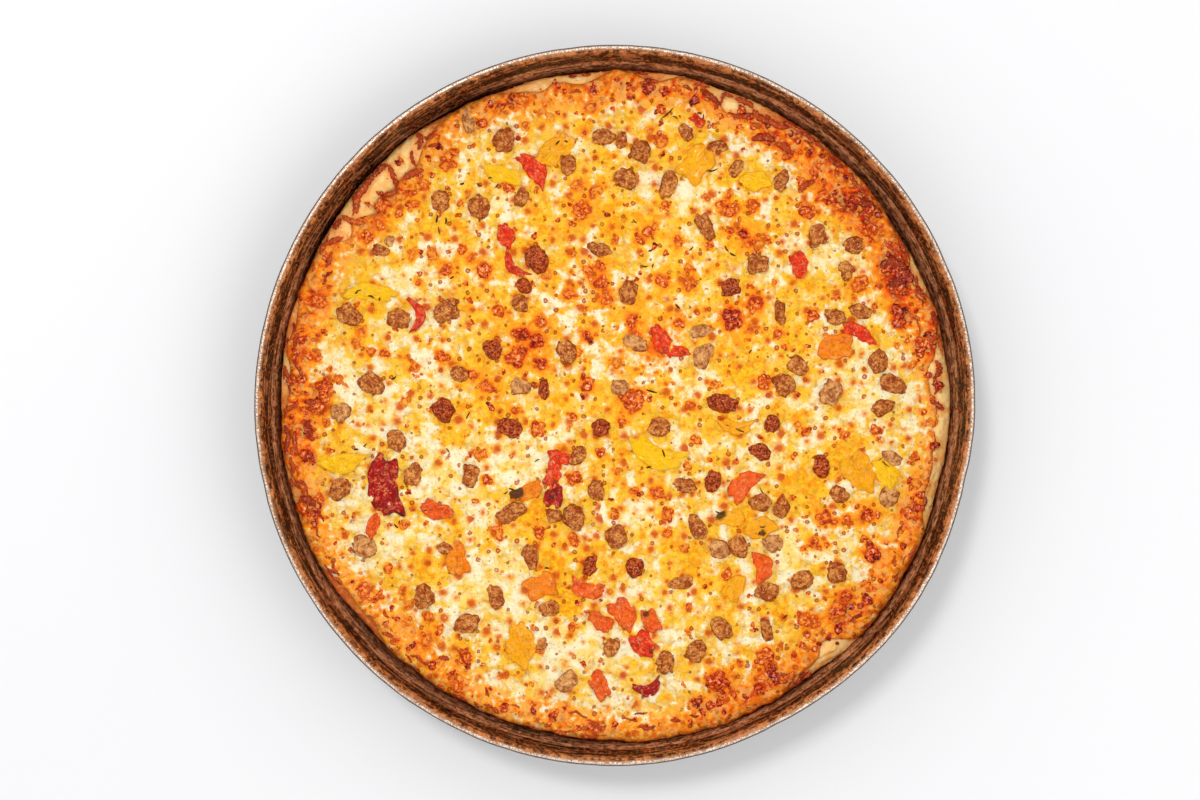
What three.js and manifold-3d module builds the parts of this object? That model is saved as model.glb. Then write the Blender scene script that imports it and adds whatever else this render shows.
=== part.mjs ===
// Deep dish pizza, uncut, baked with chunks of sausage and roasted bell pepper, in its round pan.
// Millimetres, +Z up. The origin is the middle of the flat underside of the pan.
// The pan is spun sheet metal with a flared wall and a rolled rim. The dough fills it nearly to
// the wall and climbs to a rounded rim; the cheese covers the dough and leaves pale dough bare in
// patches along the rim. The larger toppings are pieces of their own, the rest are fused to the
// cheese they have sunk into.

import * as THREE from 'three';
import { mergeVertices } from 'three/addons/utils/BufferGeometryUtils.js';
import Module from 'manifold-3d';

const wasm = await Module();
wasm.setup();

// Pan
const PAN_HEIGHT = 50;
const PAN_OUTER_RADIUS = 205.3;
const PAN_SHEET = 1.4;
const PAN_SEGMENTS = 64;
const RIM_BEAD_RADIUS = 2.3;
const RIM_BEAD_OUTER_STEPS = 4;
const RIM_BEAD_INNER_STEPS = 2;
const WALL_INNER_AT_FLOOR = 191;
const WALL_FLARE = 0.2065;
const FLOOR_CORNER = 6;
const FLOOR_CORNER_STEPS = 2;
const DENTS_FROM_RADIUS = 150;
const DENTS_FULL_RADIUS = 190;
// Dents and bulges of the rim: [degrees, half width in degrees, millimetres outward]
const PAN_DENTS = [
  [300, 15, -1.6],
  [345, 10, -1.4],
  [132, 22, 0.6],
];

// Dough
const GAP = 0.3;
const DOUGH_SEGMENTS = 64;
const DOUGH_TOP = 22;
const DOUGH_EDGE_RADIUS = 194.4;
const DOUGH_CREST = 31;
const DOUGH_WALL_CLEARANCE = 0.7;
const DOUGH_CREST_INSET = 5.5;
const DOUGH_FOOT_INSET = 22;
// Where the dough has swollen against the wall or shrunk from it: same columns as the dents
const DOUGH_EDGE_SWELLS = [
  [135, 14, 1.6],
  [282, 10, 1.4],
  [318, 9, 1.2],
  [36, 12, -1.8],
  [232, 14, -1.9],
  [250, 10, -0.9],
];

// Cheese
const CHEESE_FIELD = 26.8;
const CHEESE_ON_RIM = 1.7;
const CHEESE_EDGE_INSET = 4.2;
const CHEESE_SEGMENTS = 64;
const CHEESE_FIELD_RINGS = 7;
const CHEESE_FIELD_RADIUS = 166;
const CHEESE_EDGE_RADII = [174, 181, 186.5, 190];
const CHEESE_DEPTH = 18;
const CHEESE_EDGE_DEPTH = 4;
const CHEESE_FILLET = 1.2;
const SWELLS_FROM_INSET = 3;
const SWELLS_FULL_INSET = 30;
// Patches of bare dough along the rim: [degrees, half width in degrees, depth inward]
const DOUGH_PATCHES = [
  [131, 6.5, 13],
  [143.5, 4.5, 10],
  [104, 4, 8],
  [96, 3, 7],
  [83, 3, 8],
  [69.5, 4, 11],
  [62, 3, 7],
  [22, 3, 6],
  [5, 6, 9],
  [353, 6, 8.5],
  [343, 3.5, 6],
  [312, 3, 9],
  [304.5, 3, 7],
  [221, 3, 6],
  [214, 3.5, 8],
  [195, 3, 9],
  [176.5, 4, 9],
  [165.5, 3, 7],
];

// Toppings are laid out on a square grid of this pitch, centred on the pan.
const GRID = 0.58;
const SAUSAGE_RISE = 0.34;
const SAUSAGE_SINK = 2.5;
const SAUSAGE_ROUGHNESS = 0.22;
const SAUSAGE_ROUNDING = 0.88;
const PEPPER_SINK = 1.6;
const PEPPER_THICKNESS = 3.4;
const PEPPER_SEGMENTS = 9;
const CHUNK_SIDES = 8;
const CHUNK_RINGS = 5;
const CLEARANCE = 0.4;
const SEEDS = { chunk: 100, pepper: 300, sausageBit: 500, pepperBit: 900 };

// Larger chunks of sausage: [x, y, length, width] in grid steps and [turn] in degrees
const SAUSAGE_CHUNKS = [
  [-110, 266, 24, 22, 80],
  [26, 254, 23, 22, 60],
  [11, 227, 24, 21, -35],
  [-135, 198, 24, 20, -60],
  [-78, 146, 29, 23, -70],
  [-168, 95, 27, 23, 30],
  [90, 180, 29, 17, -60],
  [143, 142, 23, 21, 30],
  [14, 113, 29, 18, 80],
  [-266, 91, 26, 20, -30],
  [-243, 22, 28, 20, -20],
  [-172, -4, 25, 22, -40],
  [-48, 54, 26, 21, -60],
  [108, 2, 31, 17, -12],
  [170, 20, 24, 21, -40],
  [280, 21, 28, 18, -30],
  [216, 13, 24, 21, 70],
  [-250, -142, 28, 21, -35],
  [-105, -23, 28, 18, -10],
  [-103, -107, 29, 18, 25],
  [-41, -112, 25, 21, 85],
  [1, -132, 24, 22, -50],
  [-191, -191, 24, 20, -80],
  [-149, -219, 27, 18, 12],
  [107, -224, 25, 19, -50],
  [81, -246, 24, 20, 60],
  [188, -175, 24, 21, 0],
  [-47, -276, 27, 18, 30],
];

// Smaller or half covered bits of sausage, in the same columns
const SAUSAGE_BITS = [
  [-147, 285, 26, 12, -78],
  [-47, 241, 22, 17, -70],
  [-11, 269, 23, 18, 0],
  [7, 264, 19, 13, 85],
  [54, 221, 26, 18, 70],
  [71, 274, 18, 14, -60],
  [101, 258, 26, 15, 5],
  [122, 237, 20, 12, 60],
  [167, 225, 23, 15, 70],
  [-175, 205, 22, 19, 60],
  [-226, 164, 14, 11, 60],
  [-235, 155, 18, 14, -10],
  [-93, 208, 20, 14, 70],
  [-15, 156, 26, 14, -22],
  [-95, 102, 19, 17, -20],
  [-91, 120, 18, 15, -60],
  [116, 118, 20, 18, 0],
  [203, 170, 24, 18, 80],
  [240, 160, 22, 18, 10],
  [232, 135, 21, 15, -75],
  [247, 94, 25, 14, -15],
  [166, 93, 25, 12, -85],
  [-217, 87, 23, 21, 0],
  [-274, -7, 21, 19, 80],
  [-122, 56, 22, 18, -60],
  [-156, 31, 20, 16, -20],
  [-95, 19, 22, 18, 0],
  [-71, 16, 23, 12, -85],
  [5, 18, 20, 17, 0],
  [21, 63, 26, 15, -20],
  [87, 74, 22, 15, 10],
  [88, 50, 27, 18, 65],
  [44, -22, 26, 17, -8],
  [158, -18, 18, 16, 90],
  [220, 89, 22, 16, -20],
  [264, 44, 23, 19, -75],
  [183, 39, 24, 18, -30],
  [268, -2, 25, 15, 18],
  [-218, -35, 23, 19, -80],
  [-202, -70, 25, 18, 75],
  [-276, -84, 25, 20, 50],
  [-144, -71, 26, 18, 85],
  [-18, -86, 22, 16, 90],
  [-61, -110, 19, 15, 0],
  [-14, -22, 20, 18, 20],
  [-38, -51, 22, 15, 50],
  [70, -80, 25, 15, -10],
  [98, -77, 24, 17, 80],
  [83, -123, 27, 16, -65],
  [145, -46, 21, 17, -30],
  [146, -97, 24, 18, 0],
  [167, -102, 23, 17, 80],
  [105, -144, 21, 19, -20],
  [124, -141, 25, 18, -65],
  [159, -139, 21, 17, -30],
  [207, -62, 25, 17, -65],
  [225, -89, 21, 16, -30],
  [277, -53, 22, 15, -15],
  [275, -93, 22, 19, 60],
  [-170, -143, 16, 14, 0],
  [-84, -151, 26, 17, -80],
  [-119, -192, 26, 17, -75],
  [-65, -204, 21, 17, 15],
  [-24, -161, 23, 13, 70],
  [-3, -243, 22, 15, 70],
  [-73, -239, 14, 10, 60],
  [20, -162, 20, 18, -60],
  [67, -178, 28, 14, 10],
  [152, -186, 24, 19, -10],
  [152, -225, 24, 13, -80],
  [51, -258, 24, 19, 50],
  [222, -167, 22, 19, -75],
];

// Larger pieces of bell pepper: [name, x, y, length, width, turn, bend in grid steps]
const PEPPER_PIECES = [
  ['red_top', -82, 236, 40, 20, -52, 3],
  ['orange_top', -60, 257, 43, 25, 35, -3],
  ['red_upper_left', -109, 170, 25, 18, -75, 0],
  ['yellow_left', -245, 112, 54, 17, -2, 2],
  ['red_crescent', -200, 91, 36, 11, -82, 5],
  ['orange_upper', 82, 242, 42, 31, 50, 0],
  ['yellow_upper_right', 141, 225, 32, 19, 0, 0],
  ['red_right', 184, 141, 28, 18, -80, 2],
  ['orange_right', 221, 59, 38, 28, 15, 0],
  ['red_behind_orange', 244, 72, 38, 15, -28, 2],
  ['yellow_lower_left', -274, -56, 48, 20, 5, -3],
  ['dark_red_large', -229, -81, 64, 33, -80, -3],
  ['red_left_of_middle', -178, -104, 34, 18, -15, -3],
  ['dark_red_middle', -61, -90, 27, 20, 80, 0],
  ['orange_charred', -88, -87, 36, 17, 20, 0],
  ['yellow_middle', 42, -47, 60, 24, -22, -5],
  ['orange_red_right', 130, -81, 40, 22, 45, 3],
  ['orange_lower_right', 146, -123, 33, 22, 15, 0],
  ['orange_red_lower_right', 147, -162, 32, 19, -80, 2],
  ['yellow_fold_left', 245, -67, 42, 33, -60, 0],
  ['yellow_fold_right', 271, -69, 34, 22, -60, 2],
  ['orange_lower_left', -158, -154, 36, 23, -80, 0],
  ['orange_below_middle', -74, -181, 34, 27, 15, 0],
  ['orange_strip', -27, -183, 36, 17, -12, -3],
  ['orange_red_bottom', 8, -209, 34, 25, -55, 2],
  ['red_bottom', 28, -239, 28, 24, -60, 0],
  ['yellow_bottom', -94, -240, 46, 30, -85, 0],
  ['dark_red_bottom', 33, -282, 30, 13, 15, -4],
  ['orange_red_lowest', -15, -280, 32, 18, -72, 0],
];

// Smaller bits of bell pepper: [x, y, length, width, turn, bend]
const PEPPER_BITS = [
  [-112, 231, 42, 18, -18, 0],
  [-100, 141, 36, 10, -50, -4],
  [83, 285, 17, 11, -40, 0],
  [-55, -52, 26, 14, -15, 0],
  [-60, -72, 24, 12, -40, 0],
  [116, -114, 32, 17, 0, 2],
  [121, -20, 36, 14, -5, -3],
  [-14, -217, 28, 17, -35, 0],
  [36, -216, 26, 18, -60, 0],
  [47, 65, 34, 18, -65, 0],
  [64, 54, 22, 12, -5, 0],
  [120, -183, 28, 20, 60, 0],
];

const DEG = Math.PI / 180;

/** Seeded random numbers from 0 to 1. */
function makeRandom(seed) {
  let state = seed;
  return () => {
    state = (state + 0x6d2b79f5) | 0;
    let t = Math.imul(state ^ (state >>> 15), 1 | state);
    t = (t + Math.imul(t ^ (t >>> 7), 61 | t)) ^ t;
    return ((t ^ (t >>> 14)) >>> 0) / 4294967296;
  };
}

/** Difference of two angles in degrees, from -180 to 180. */
function angleBetween(a, b) {
  return ((a - b + 540) % 360) - 180;
}

/** Sum of smooth bumps round the pan, each [degrees, half width, size]. */
function bumps(rows, degrees) {
  let sum = 0;
  for (const [at, halfWidth, size] of rows) {
    const t = angleBetween(degrees, at) / halfWidth;
    sum += size * Math.exp(-t * t);
  }
  return sum;
}

function smoothstep(from, to, value) {
  const t = Math.min(1, Math.max(0, (value - from) / (to - from)));
  return t * t * (3 - 2 * t);
}

function degreesOf(x, y) {
  return (Math.atan2(y, x) / DEG + 360) % 360;
}

/** How far the dents push the wall outward at an angle and a height. */
function dentAt(degrees, z) {
  return bumps(PAN_DENTS, degrees) * Math.max(0, z / PAN_HEIGHT);
}

function wallInner(z) {
  return WALL_INNER_AT_FLOOR + WALL_FLARE * z;
}

/** Uneven outer radius of the dough at an angle. */
function doughEdge(degrees) {
  const a = degrees * DEG;
  const crags = 0.45 * Math.sin(9 * a + 1) + 0.35 * Math.sin(17 * a + 2.2) + 0.25 * Math.sin(29 * a);
  return DOUGH_EDGE_RADIUS + bumps(DOUGH_EDGE_SWELLS, degrees) + crags;
}

/** Lumps that run along the rim of the pizza. */
function rimLumps(degrees) {
  const a = degrees * DEG;
  return 0.6 * Math.sin(11 * a + 0.7) + 0.5 * Math.sin(19 * a + 2) + 0.3 * Math.sin(31 * a + 4);
}

/** Slow swells of the cheese. */
function swells(x, y) {
  const long = 0.55 * Math.sin(0.105 * x + 0.06 * y + 0.4);
  const middle = 0.45 * Math.sin(-0.07 * x + 0.13 * y + 2.1);
  const short = 0.35 * Math.sin(0.19 * x - 0.12 * y + 4);
  return long + middle + short;
}

/** Height of the top of the dough, given how far inside its edge the point is. */
function doughTop(inset, degrees) {
  const rise = 1 - smoothstep(DOUGH_CREST_INSET, DOUGH_FOOT_INSET, inset);
  return DOUGH_TOP + (DOUGH_CREST - DOUGH_TOP) * rise + rimLumps(degrees) * rise;
}

/** Inner limit of the bare dough along the rim: how far the cheese stays inside the dough edge. */
function cheeseInset(degrees) {
  const a = degrees * DEG;
  const ragged = 0.7 * Math.sin(13 * a + 0.4) + 0.6 * Math.sin(23 * a + 1.9);
  return CHEESE_EDGE_INSET + ragged + bumps(DOUGH_PATCHES, degrees);
}

/** Height of the top of the cheese. */
function cheeseTop(x, y) {
  const degrees = degreesOf(x, y);
  const inset = doughEdge(degrees) - Math.hypot(x, y);
  const swell = swells(x, y) * smoothstep(SWELLS_FROM_INSET, SWELLS_FULL_INSET, inset);
  const field = Math.exp((CHEESE_FIELD + swell) * CHEESE_FILLET);
  const overDough = Math.exp((doughTop(inset, degrees) + CHEESE_ON_RIM) * CHEESE_FILLET);
  return Math.log(field + overDough) / CHEESE_FILLET;
}

/** Merge shared vertices and drop the triangles that have collapsed on an axis. */
function weld(geometry) {
  geometry.deleteAttribute('normal');
  geometry.deleteAttribute('uv');
  const merged = mergeVertices(geometry, 1e-4);
  const kept = [];
  const index = merged.index.array;
  for (let i = 0; i < index.length; i += 3) {
    const [a, b, c] = [index[i], index[i + 1], index[i + 2]];
    if (a !== b && b !== c && c !== a) {
      kept.push(a, b, c);
    }
  }
  merged.setIndex(kept);
  return merged;
}

/** Move every vertex: place(x, y, z) returns its new position. */
function warp(geometry, place) {
  const position = geometry.attributes.position;
  for (let i = 0; i < position.count; i += 1) {
    const [x, y, z] = place(position.getX(i), position.getY(i), position.getZ(i));
    position.setXYZ(i, x, y, z);
  }
  return geometry;
}

function toSolid(geometry) {
  const vertProperties = new Float32Array(geometry.attributes.position.array);
  const triVerts = new Uint32Array(geometry.index.array);
  return new wasm.Manifold(new wasm.Mesh({ numProp: 3, vertProperties, triVerts }));
}

function toGeometry(solid) {
  const mesh = solid.getMesh();
  const geometry = new THREE.BufferGeometry();
  geometry.setAttribute('position', new THREE.BufferAttribute(mesh.vertProperties, 3));
  geometry.setIndex(new THREE.BufferAttribute(mesh.triVerts, 1));
  geometry.computeVertexNormals();
  return geometry;
}

/** The largest body of a solid, without the scraps a cut leaves. */
function mainBody(solid) {
  const bodies = solid.decompose();
  return bodies.reduce((largest, body) => (body.volume() > largest.volume() ? body : largest));
}

/** A solid of revolution about Z through points [radius, height], listed upward along its outside. */
function revolve(points, segments) {
  const profile = points.map(([r, z]) => new THREE.Vector2(r, z));
  return new THREE.LatheGeometry(profile, segments).rotateX(Math.PI / 2);
}

/** Points of an arc from one angle to another, in degrees. */
function arc(centreR, centreZ, radius, from, to, steps) {
  const points = [];
  for (let i = 0; i <= steps; i += 1) {
    const a = (from + ((to - from) * i) / steps) * DEG;
    points.push([centreR + radius * Math.cos(a), centreZ + radius * Math.sin(a)]);
  }
  return points;
}

/** Pan: floor, corner, flared wall and rolled rim, pushed in and out by its dents. */
function makePan() {
  const wallLean = Math.atan(WALL_FLARE) / DEG;
  const outerCorner = FLOOR_CORNER + PAN_SHEET;
  const cornerZ = PAN_SHEET + FLOOR_CORNER;
  const cornerR = wallInner(cornerZ) - FLOOR_CORNER;
  const beadR = PAN_OUTER_RADIUS - RIM_BEAD_RADIUS;
  const beadZ = PAN_HEIGHT - RIM_BEAD_RADIUS;
  const points = [
    [0, 0],
    ...arc(cornerR, cornerZ, outerCorner, -90, -wallLean, FLOOR_CORNER_STEPS),
    ...arc(beadR, beadZ, RIM_BEAD_RADIUS, -125, 90, RIM_BEAD_OUTER_STEPS).slice(0, -1),
    ...arc(beadR, beadZ, RIM_BEAD_RADIUS, 90, 180 - wallLean, RIM_BEAD_INNER_STEPS),
    ...arc(cornerR, cornerZ, FLOOR_CORNER, -wallLean, -90, FLOOR_CORNER_STEPS),
    [0, PAN_SHEET],
  ];
  const pan = warp(revolve(points, PAN_SEGMENTS), (x, y, z) => {
    const r = Math.hypot(x, y);
    if (r === 0) {
      return [x, y, z];
    }
    const push = dentAt(degreesOf(x, y), z) * smoothstep(DENTS_FROM_RADIUS, DENTS_FULL_RADIUS, r);
    return [x * (1 + push / r), y * (1 + push / r), z];
  });
  return weld(pan);
}

/** Dough: a thick round base whose edge climbs to a rounded, craggy rim. The profile lists its top
 * at height zero, and the warp lifts it to its true height. */
function makeDough() {
  const e = DOUGH_EDGE_RADIUS;
  const bottom = PAN_SHEET + GAP;
  const insets = [DOUGH_CREST_INSET, 10, 15.5, DOUGH_FOOT_INSET];
  const points = [
    [0, bottom],
    [e - 11.5, bottom],
    [e - 5, bottom + 4.5],
    [e - 0.7, 21],
    [e, 25.5],
    [e - 1.5, 29],
    ...insets.map((inset) => [e - inset, 0]),
    [0, 0],
  ];
  const dough = warp(revolve(points, DOUGH_SEGMENTS), (x, y, z) => {
    const r = Math.hypot(x, y);
    const degrees = degreesOf(x, y);
    const onTop = z < bottom / 2;
    if (r < 1) {
      return [x, y, onTop ? DOUGH_TOP : z];
    }
    const spread = smoothstep(DENTS_FROM_RADIUS, e - 12, r);
    const wanted = r + (doughEdge(degrees) - e) * spread;
    const height = onTop ? doughTop(doughEdge(degrees) - wanted, degrees) : z;
    const limit = wallInner(height) + dentAt(degrees, height) - DOUGH_WALL_CLEARANCE;
    const k = Math.min(wanted, limit) / r;
    return [x * k, y * k, height];
  });
  return weld(dough);
}

/** Cheese before it is fitted to the dough: its top surface, over a body that reaches into it. */
function makeCheese() {
  const rings = [];
  for (let i = 0; i < CHEESE_FIELD_RINGS; i += 1) {
    rings.push((CHEESE_FIELD_RADIUS * i) / (CHEESE_FIELD_RINGS - 1));
  }
  const edge = CHEESE_EDGE_RADII.at(-1);
  const points = [[0, -CHEESE_DEPTH], [edge - 6, -CHEESE_DEPTH], [edge, -CHEESE_EDGE_DEPTH]];
  for (const r of [...rings, ...CHEESE_EDGE_RADII].reverse()) {
    points.push([r, 0]);
  }
  const cheese = warp(revolve(points, CHEESE_SEGMENTS), (x, y, z) => {
    const r = Math.hypot(x, y);
    const degrees = degreesOf(x, y);
    const spread = smoothstep(CHEESE_FIELD_RADIUS - 12, edge, r);
    const target = doughEdge(degrees) - cheeseInset(degrees);
    const k = r < 1 ? 1 : (r + (target - edge) * spread) / r;
    const isUnderside = z < -CHEESE_DEPTH / 2;
    return [x * k, y * k, isUnderside ? DOUGH_TOP - 4 : cheeseTop(x * k, y * k) + z];
  });
  return weld(cheese);
}

/** A lump of ground sausage: a rough, rounded block that lies half sunk in the cheese. */
function makeChunk([gx, gy, length, width, turn], ball, seed) {
  const random = makeRandom(seed);
  const x0 = gx * GRID;
  const y0 = gy * GRID;
  const cos = Math.cos(turn * DEG);
  const sin = Math.sin(turn * DEG);
  const surface = cheeseTop(x0, y0);
  const rise = width * GRID * SAUSAGE_RISE * (0.9 + 0.25 * random());
  return warp(weld(ball), (x, y, z) => {
    const rough = 1 + SAUSAGE_ROUGHNESS * (random() - 0.5);
    const square = (v) => Math.sign(v) * Math.abs(v) ** SAUSAGE_ROUNDING;
    const u = square(x) * rough * length * GRID * 0.5;
    const v = square(y) * rough * width * GRID * 0.5;
    const w = Math.max(-SAUSAGE_SINK, square(z) * rough * rise);
    return [x0 + u * cos - v * sin, y0 + u * sin + v * cos, surface + w];
  });
}

/** A piece of roasted pepper: a soft, flat pillow with an uneven outline, draped on the cheese. */
function makePepper([gx, gy, length, width, turn, bend], seed) {
  const random = makeRandom(seed);
  const corners = 3 + Math.floor(2 * random());
  const phase = random() * 2 * Math.PI;
  const curl = 0.6 + 0.9 * random();
  const half = PEPPER_THICKNESS / 2;
  const points = [[0, -half], [1, -0.1], [0.88, half * 0.75], [0.5, half], [0, half * 0.8]];
  const cos = Math.cos(turn * DEG);
  const sin = Math.sin(turn * DEG);
  const lift = PEPPER_THICKNESS * 0.22;
  return weld(warp(revolve(points, PEPPER_SEGMENTS), (x, y, z) => {
    const a = Math.atan2(y, x);
    const outline = 1 + 0.1 * Math.cos(corners * a + phase) + 0.06 * Math.cos(5 * a + 2 * phase);
    const u = x * outline * length * GRID * 0.5;
    const along = (2 * u) / (length * GRID);
    const v = y * outline * width * GRID * 0.5 + bend * GRID * (1 - 2 * along * along);
    const px = gx * GRID + u * cos - v * sin;
    const py = gy * GRID + u * sin + v * cos;
    const w = z + curl * (along * along - 0.3) * (z > 0 ? 1 : 0.4);
    return [px, py, cheeseTop(px, py) + lift + Math.max(-PEPPER_SINK, w)];
  }));
}

/** A solid grown by the clearance on every side, about the middle of its box. */
function grown(piece) {
  const middle = piece.box.getCenter(new THREE.Vector3());
  const size = piece.box.getSize(new THREE.Vector3());
  const factor = ['x', 'y', 'z'].map((axis) => 1 + (2 * CLEARANCE) / size[axis]);
  return piece.solid
    .translate([-middle.x, -middle.y, -middle.z])
    .scale(factor)
    .translate([middle.x, middle.y, middle.z]);
}

function asPiece(geometry) {
  geometry.computeBoundingBox();
  return { solid: toSolid(geometry), box: geometry.boundingBox.clone() };
}

/** Cut a piece clear of the pieces placed before it. */
function clearOf(piece, earlier) {
  let { solid } = piece;
  for (const other of earlier) {
    if (piece.box.intersectsBox(other.box)) {
      solid = solid.subtract(grown(other));
    }
  }
  return solid;
}

const COLOURS = {
  pan: { color: 0x4a2f20, roughness: 0.45, metalness: 0.7 },
  dough: { color: 0xe8b878, roughness: 0.8, metalness: 0 },
  cheese: { color: 0xf2c05a, roughness: 0.45, metalness: 0 },
  sausage: { color: 0x8f6543, roughness: 0.6, metalness: 0 },
  red: { color: 0xcf3518, roughness: 0.35, metalness: 0 },
  dark: { color: 0x9c1c14, roughness: 0.4, metalness: 0 },
  orange: { color: 0xee8a1c, roughness: 0.35, metalness: 0 },
  yellow: { color: 0xf2bd1c, roughness: 0.35, metalness: 0 },
};

const group = new THREE.Group();

function addNode(name, geometry, colour) {
  const mesh = new THREE.Mesh(geometry, new THREE.MeshStandardMaterial(COLOURS[colour]));
  mesh.name = name;
  group.add(mesh);
}

const pan = makePan();
pan.computeVertexNormals();
addNode('pan', pan, 'pan');

const dough = toSolid(makeDough());
addNode('crust', toGeometry(dough), 'dough');
const doughRaised = dough.translate([0, 0, GAP]);

// Bits that are fused to the cheese
const bits = [
  ...SAUSAGE_BITS.map((row, i) => {
    return asPiece(makeChunk(row, new THREE.IcosahedronGeometry(1), SEEDS.sausageBit + i));
  }),
  ...PEPPER_BITS.map((row, i) => asPiece(makePepper(row, SEEDS.pepperBit + i))),
];
let cheese = toSolid(makeCheese());
for (const bit of bits) {
  cheese = cheese.add(bit.solid);
}
cheese = mainBody(cheese.subtract(doughRaised));
addNode('cheese', toGeometry(cheese), 'cheese');
const cheeseSpace = cheese.translate([0, 0, GAP]).add(cheese).add(cheese.translate([0, 0, -GAP]));

// Toppings that are pieces of their own, each cut clear of what lies under and beside it
const placed = [...bits];
function place(name, geometry, colour) {
  const piece = asPiece(geometry);
  const fitted = mainBody(clearOf(piece, placed).subtract(cheeseSpace));
  placed.push(piece);
  addNode(name, toGeometry(fitted), colour);
}

SAUSAGE_CHUNKS.forEach((row, i) => {
  const ball = new THREE.SphereGeometry(1, CHUNK_SIDES, CHUNK_RINGS).rotateX(Math.PI / 2);
  place(`sausage_${String(i + 1).padStart(2, '0')}`, makeChunk(row, ball, SEEDS.chunk + i), 'sausage');
});
PEPPER_PIECES.forEach(([name, ...row], i) => {
  place(`pepper_${name}`, makePepper(row, SEEDS.pepper + i), name.split('_')[0]);
});

export default group;
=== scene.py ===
"""Deep dish pizza with sausage and roasted pepper, uncut, in the round pan it was baked in.

Sizes are in millimetres inside the form classes and in metres on every mesh. Toppings and marks
are laid out in grid steps: either from the middle of the pan (x right, y up), or, for the marks on
the cheese, from the corner of a board whose middle is BOARD_MIDDLE (x right, y down).
"""

import logging
import math
from dataclasses import dataclass
from enum import Enum

import bmesh
import bpy
import numpy as np
from bmesh.types import BMesh
from bpy.types import Mesh, Object
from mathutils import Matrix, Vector, noise


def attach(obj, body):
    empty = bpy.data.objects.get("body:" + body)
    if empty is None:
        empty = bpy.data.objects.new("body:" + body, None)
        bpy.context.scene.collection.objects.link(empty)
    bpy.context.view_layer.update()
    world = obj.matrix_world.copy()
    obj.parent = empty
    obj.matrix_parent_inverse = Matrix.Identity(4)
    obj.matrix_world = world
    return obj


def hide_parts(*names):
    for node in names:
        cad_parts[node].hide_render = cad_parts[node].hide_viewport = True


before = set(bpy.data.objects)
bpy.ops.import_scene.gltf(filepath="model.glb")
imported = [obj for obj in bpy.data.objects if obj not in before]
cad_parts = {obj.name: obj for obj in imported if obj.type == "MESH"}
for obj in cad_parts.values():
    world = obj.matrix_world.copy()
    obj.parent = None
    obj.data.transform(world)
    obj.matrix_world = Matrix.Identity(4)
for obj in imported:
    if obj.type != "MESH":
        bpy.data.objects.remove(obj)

log = logging.getLogger("pizza")

Array = np.ndarray
Rows = tuple[tuple[float, float, float], ...]
Points = list[tuple[float, float]]

MM = 0.001
GRID = 0.58
BOARD_MIDDLE = (615.0, 405.0)
BODY = "root"
SMOOTH = {"interpolation_type": "SMOOTHSTEP"}


# ---------------------------------------- layout

# Chunks of sausage that are nodes of their own: x, y, length, width, turn
CHUNKS = [
    (-110, 266, 24, 22, 80), (26, 254, 23, 22, 60), (11, 227, 24, 21, -35),
    (-135, 198, 24, 20, -60), (-78, 146, 29, 23, -70), (-168, 95, 27, 23, 30),
    (90, 180, 29, 17, -60), (143, 142, 23, 21, 30), (14, 113, 29, 18, 80),
    (-266, 91, 26, 20, -30), (-243, 22, 28, 20, -20), (-172, -4, 25, 22, -40),
    (-48, 54, 26, 21, -60), (108, 2, 31, 17, -12), (170, 20, 24, 21, -40),
    (280, 21, 28, 18, -30), (216, 13, 24, 21, 70), (-250, -142, 28, 21, -35),
    (-105, -23, 28, 18, -10), (-103, -107, 29, 18, 25), (-41, -112, 25, 21, 85),
    (1, -132, 24, 22, -50), (-191, -191, 24, 20, -80), (-149, -219, 27, 18, 12),
    (107, -224, 25, 19, -50), (81, -246, 24, 20, 60), (188, -175, 24, 21, 0),
    (-47, -276, 27, 18, 30),
]

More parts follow.
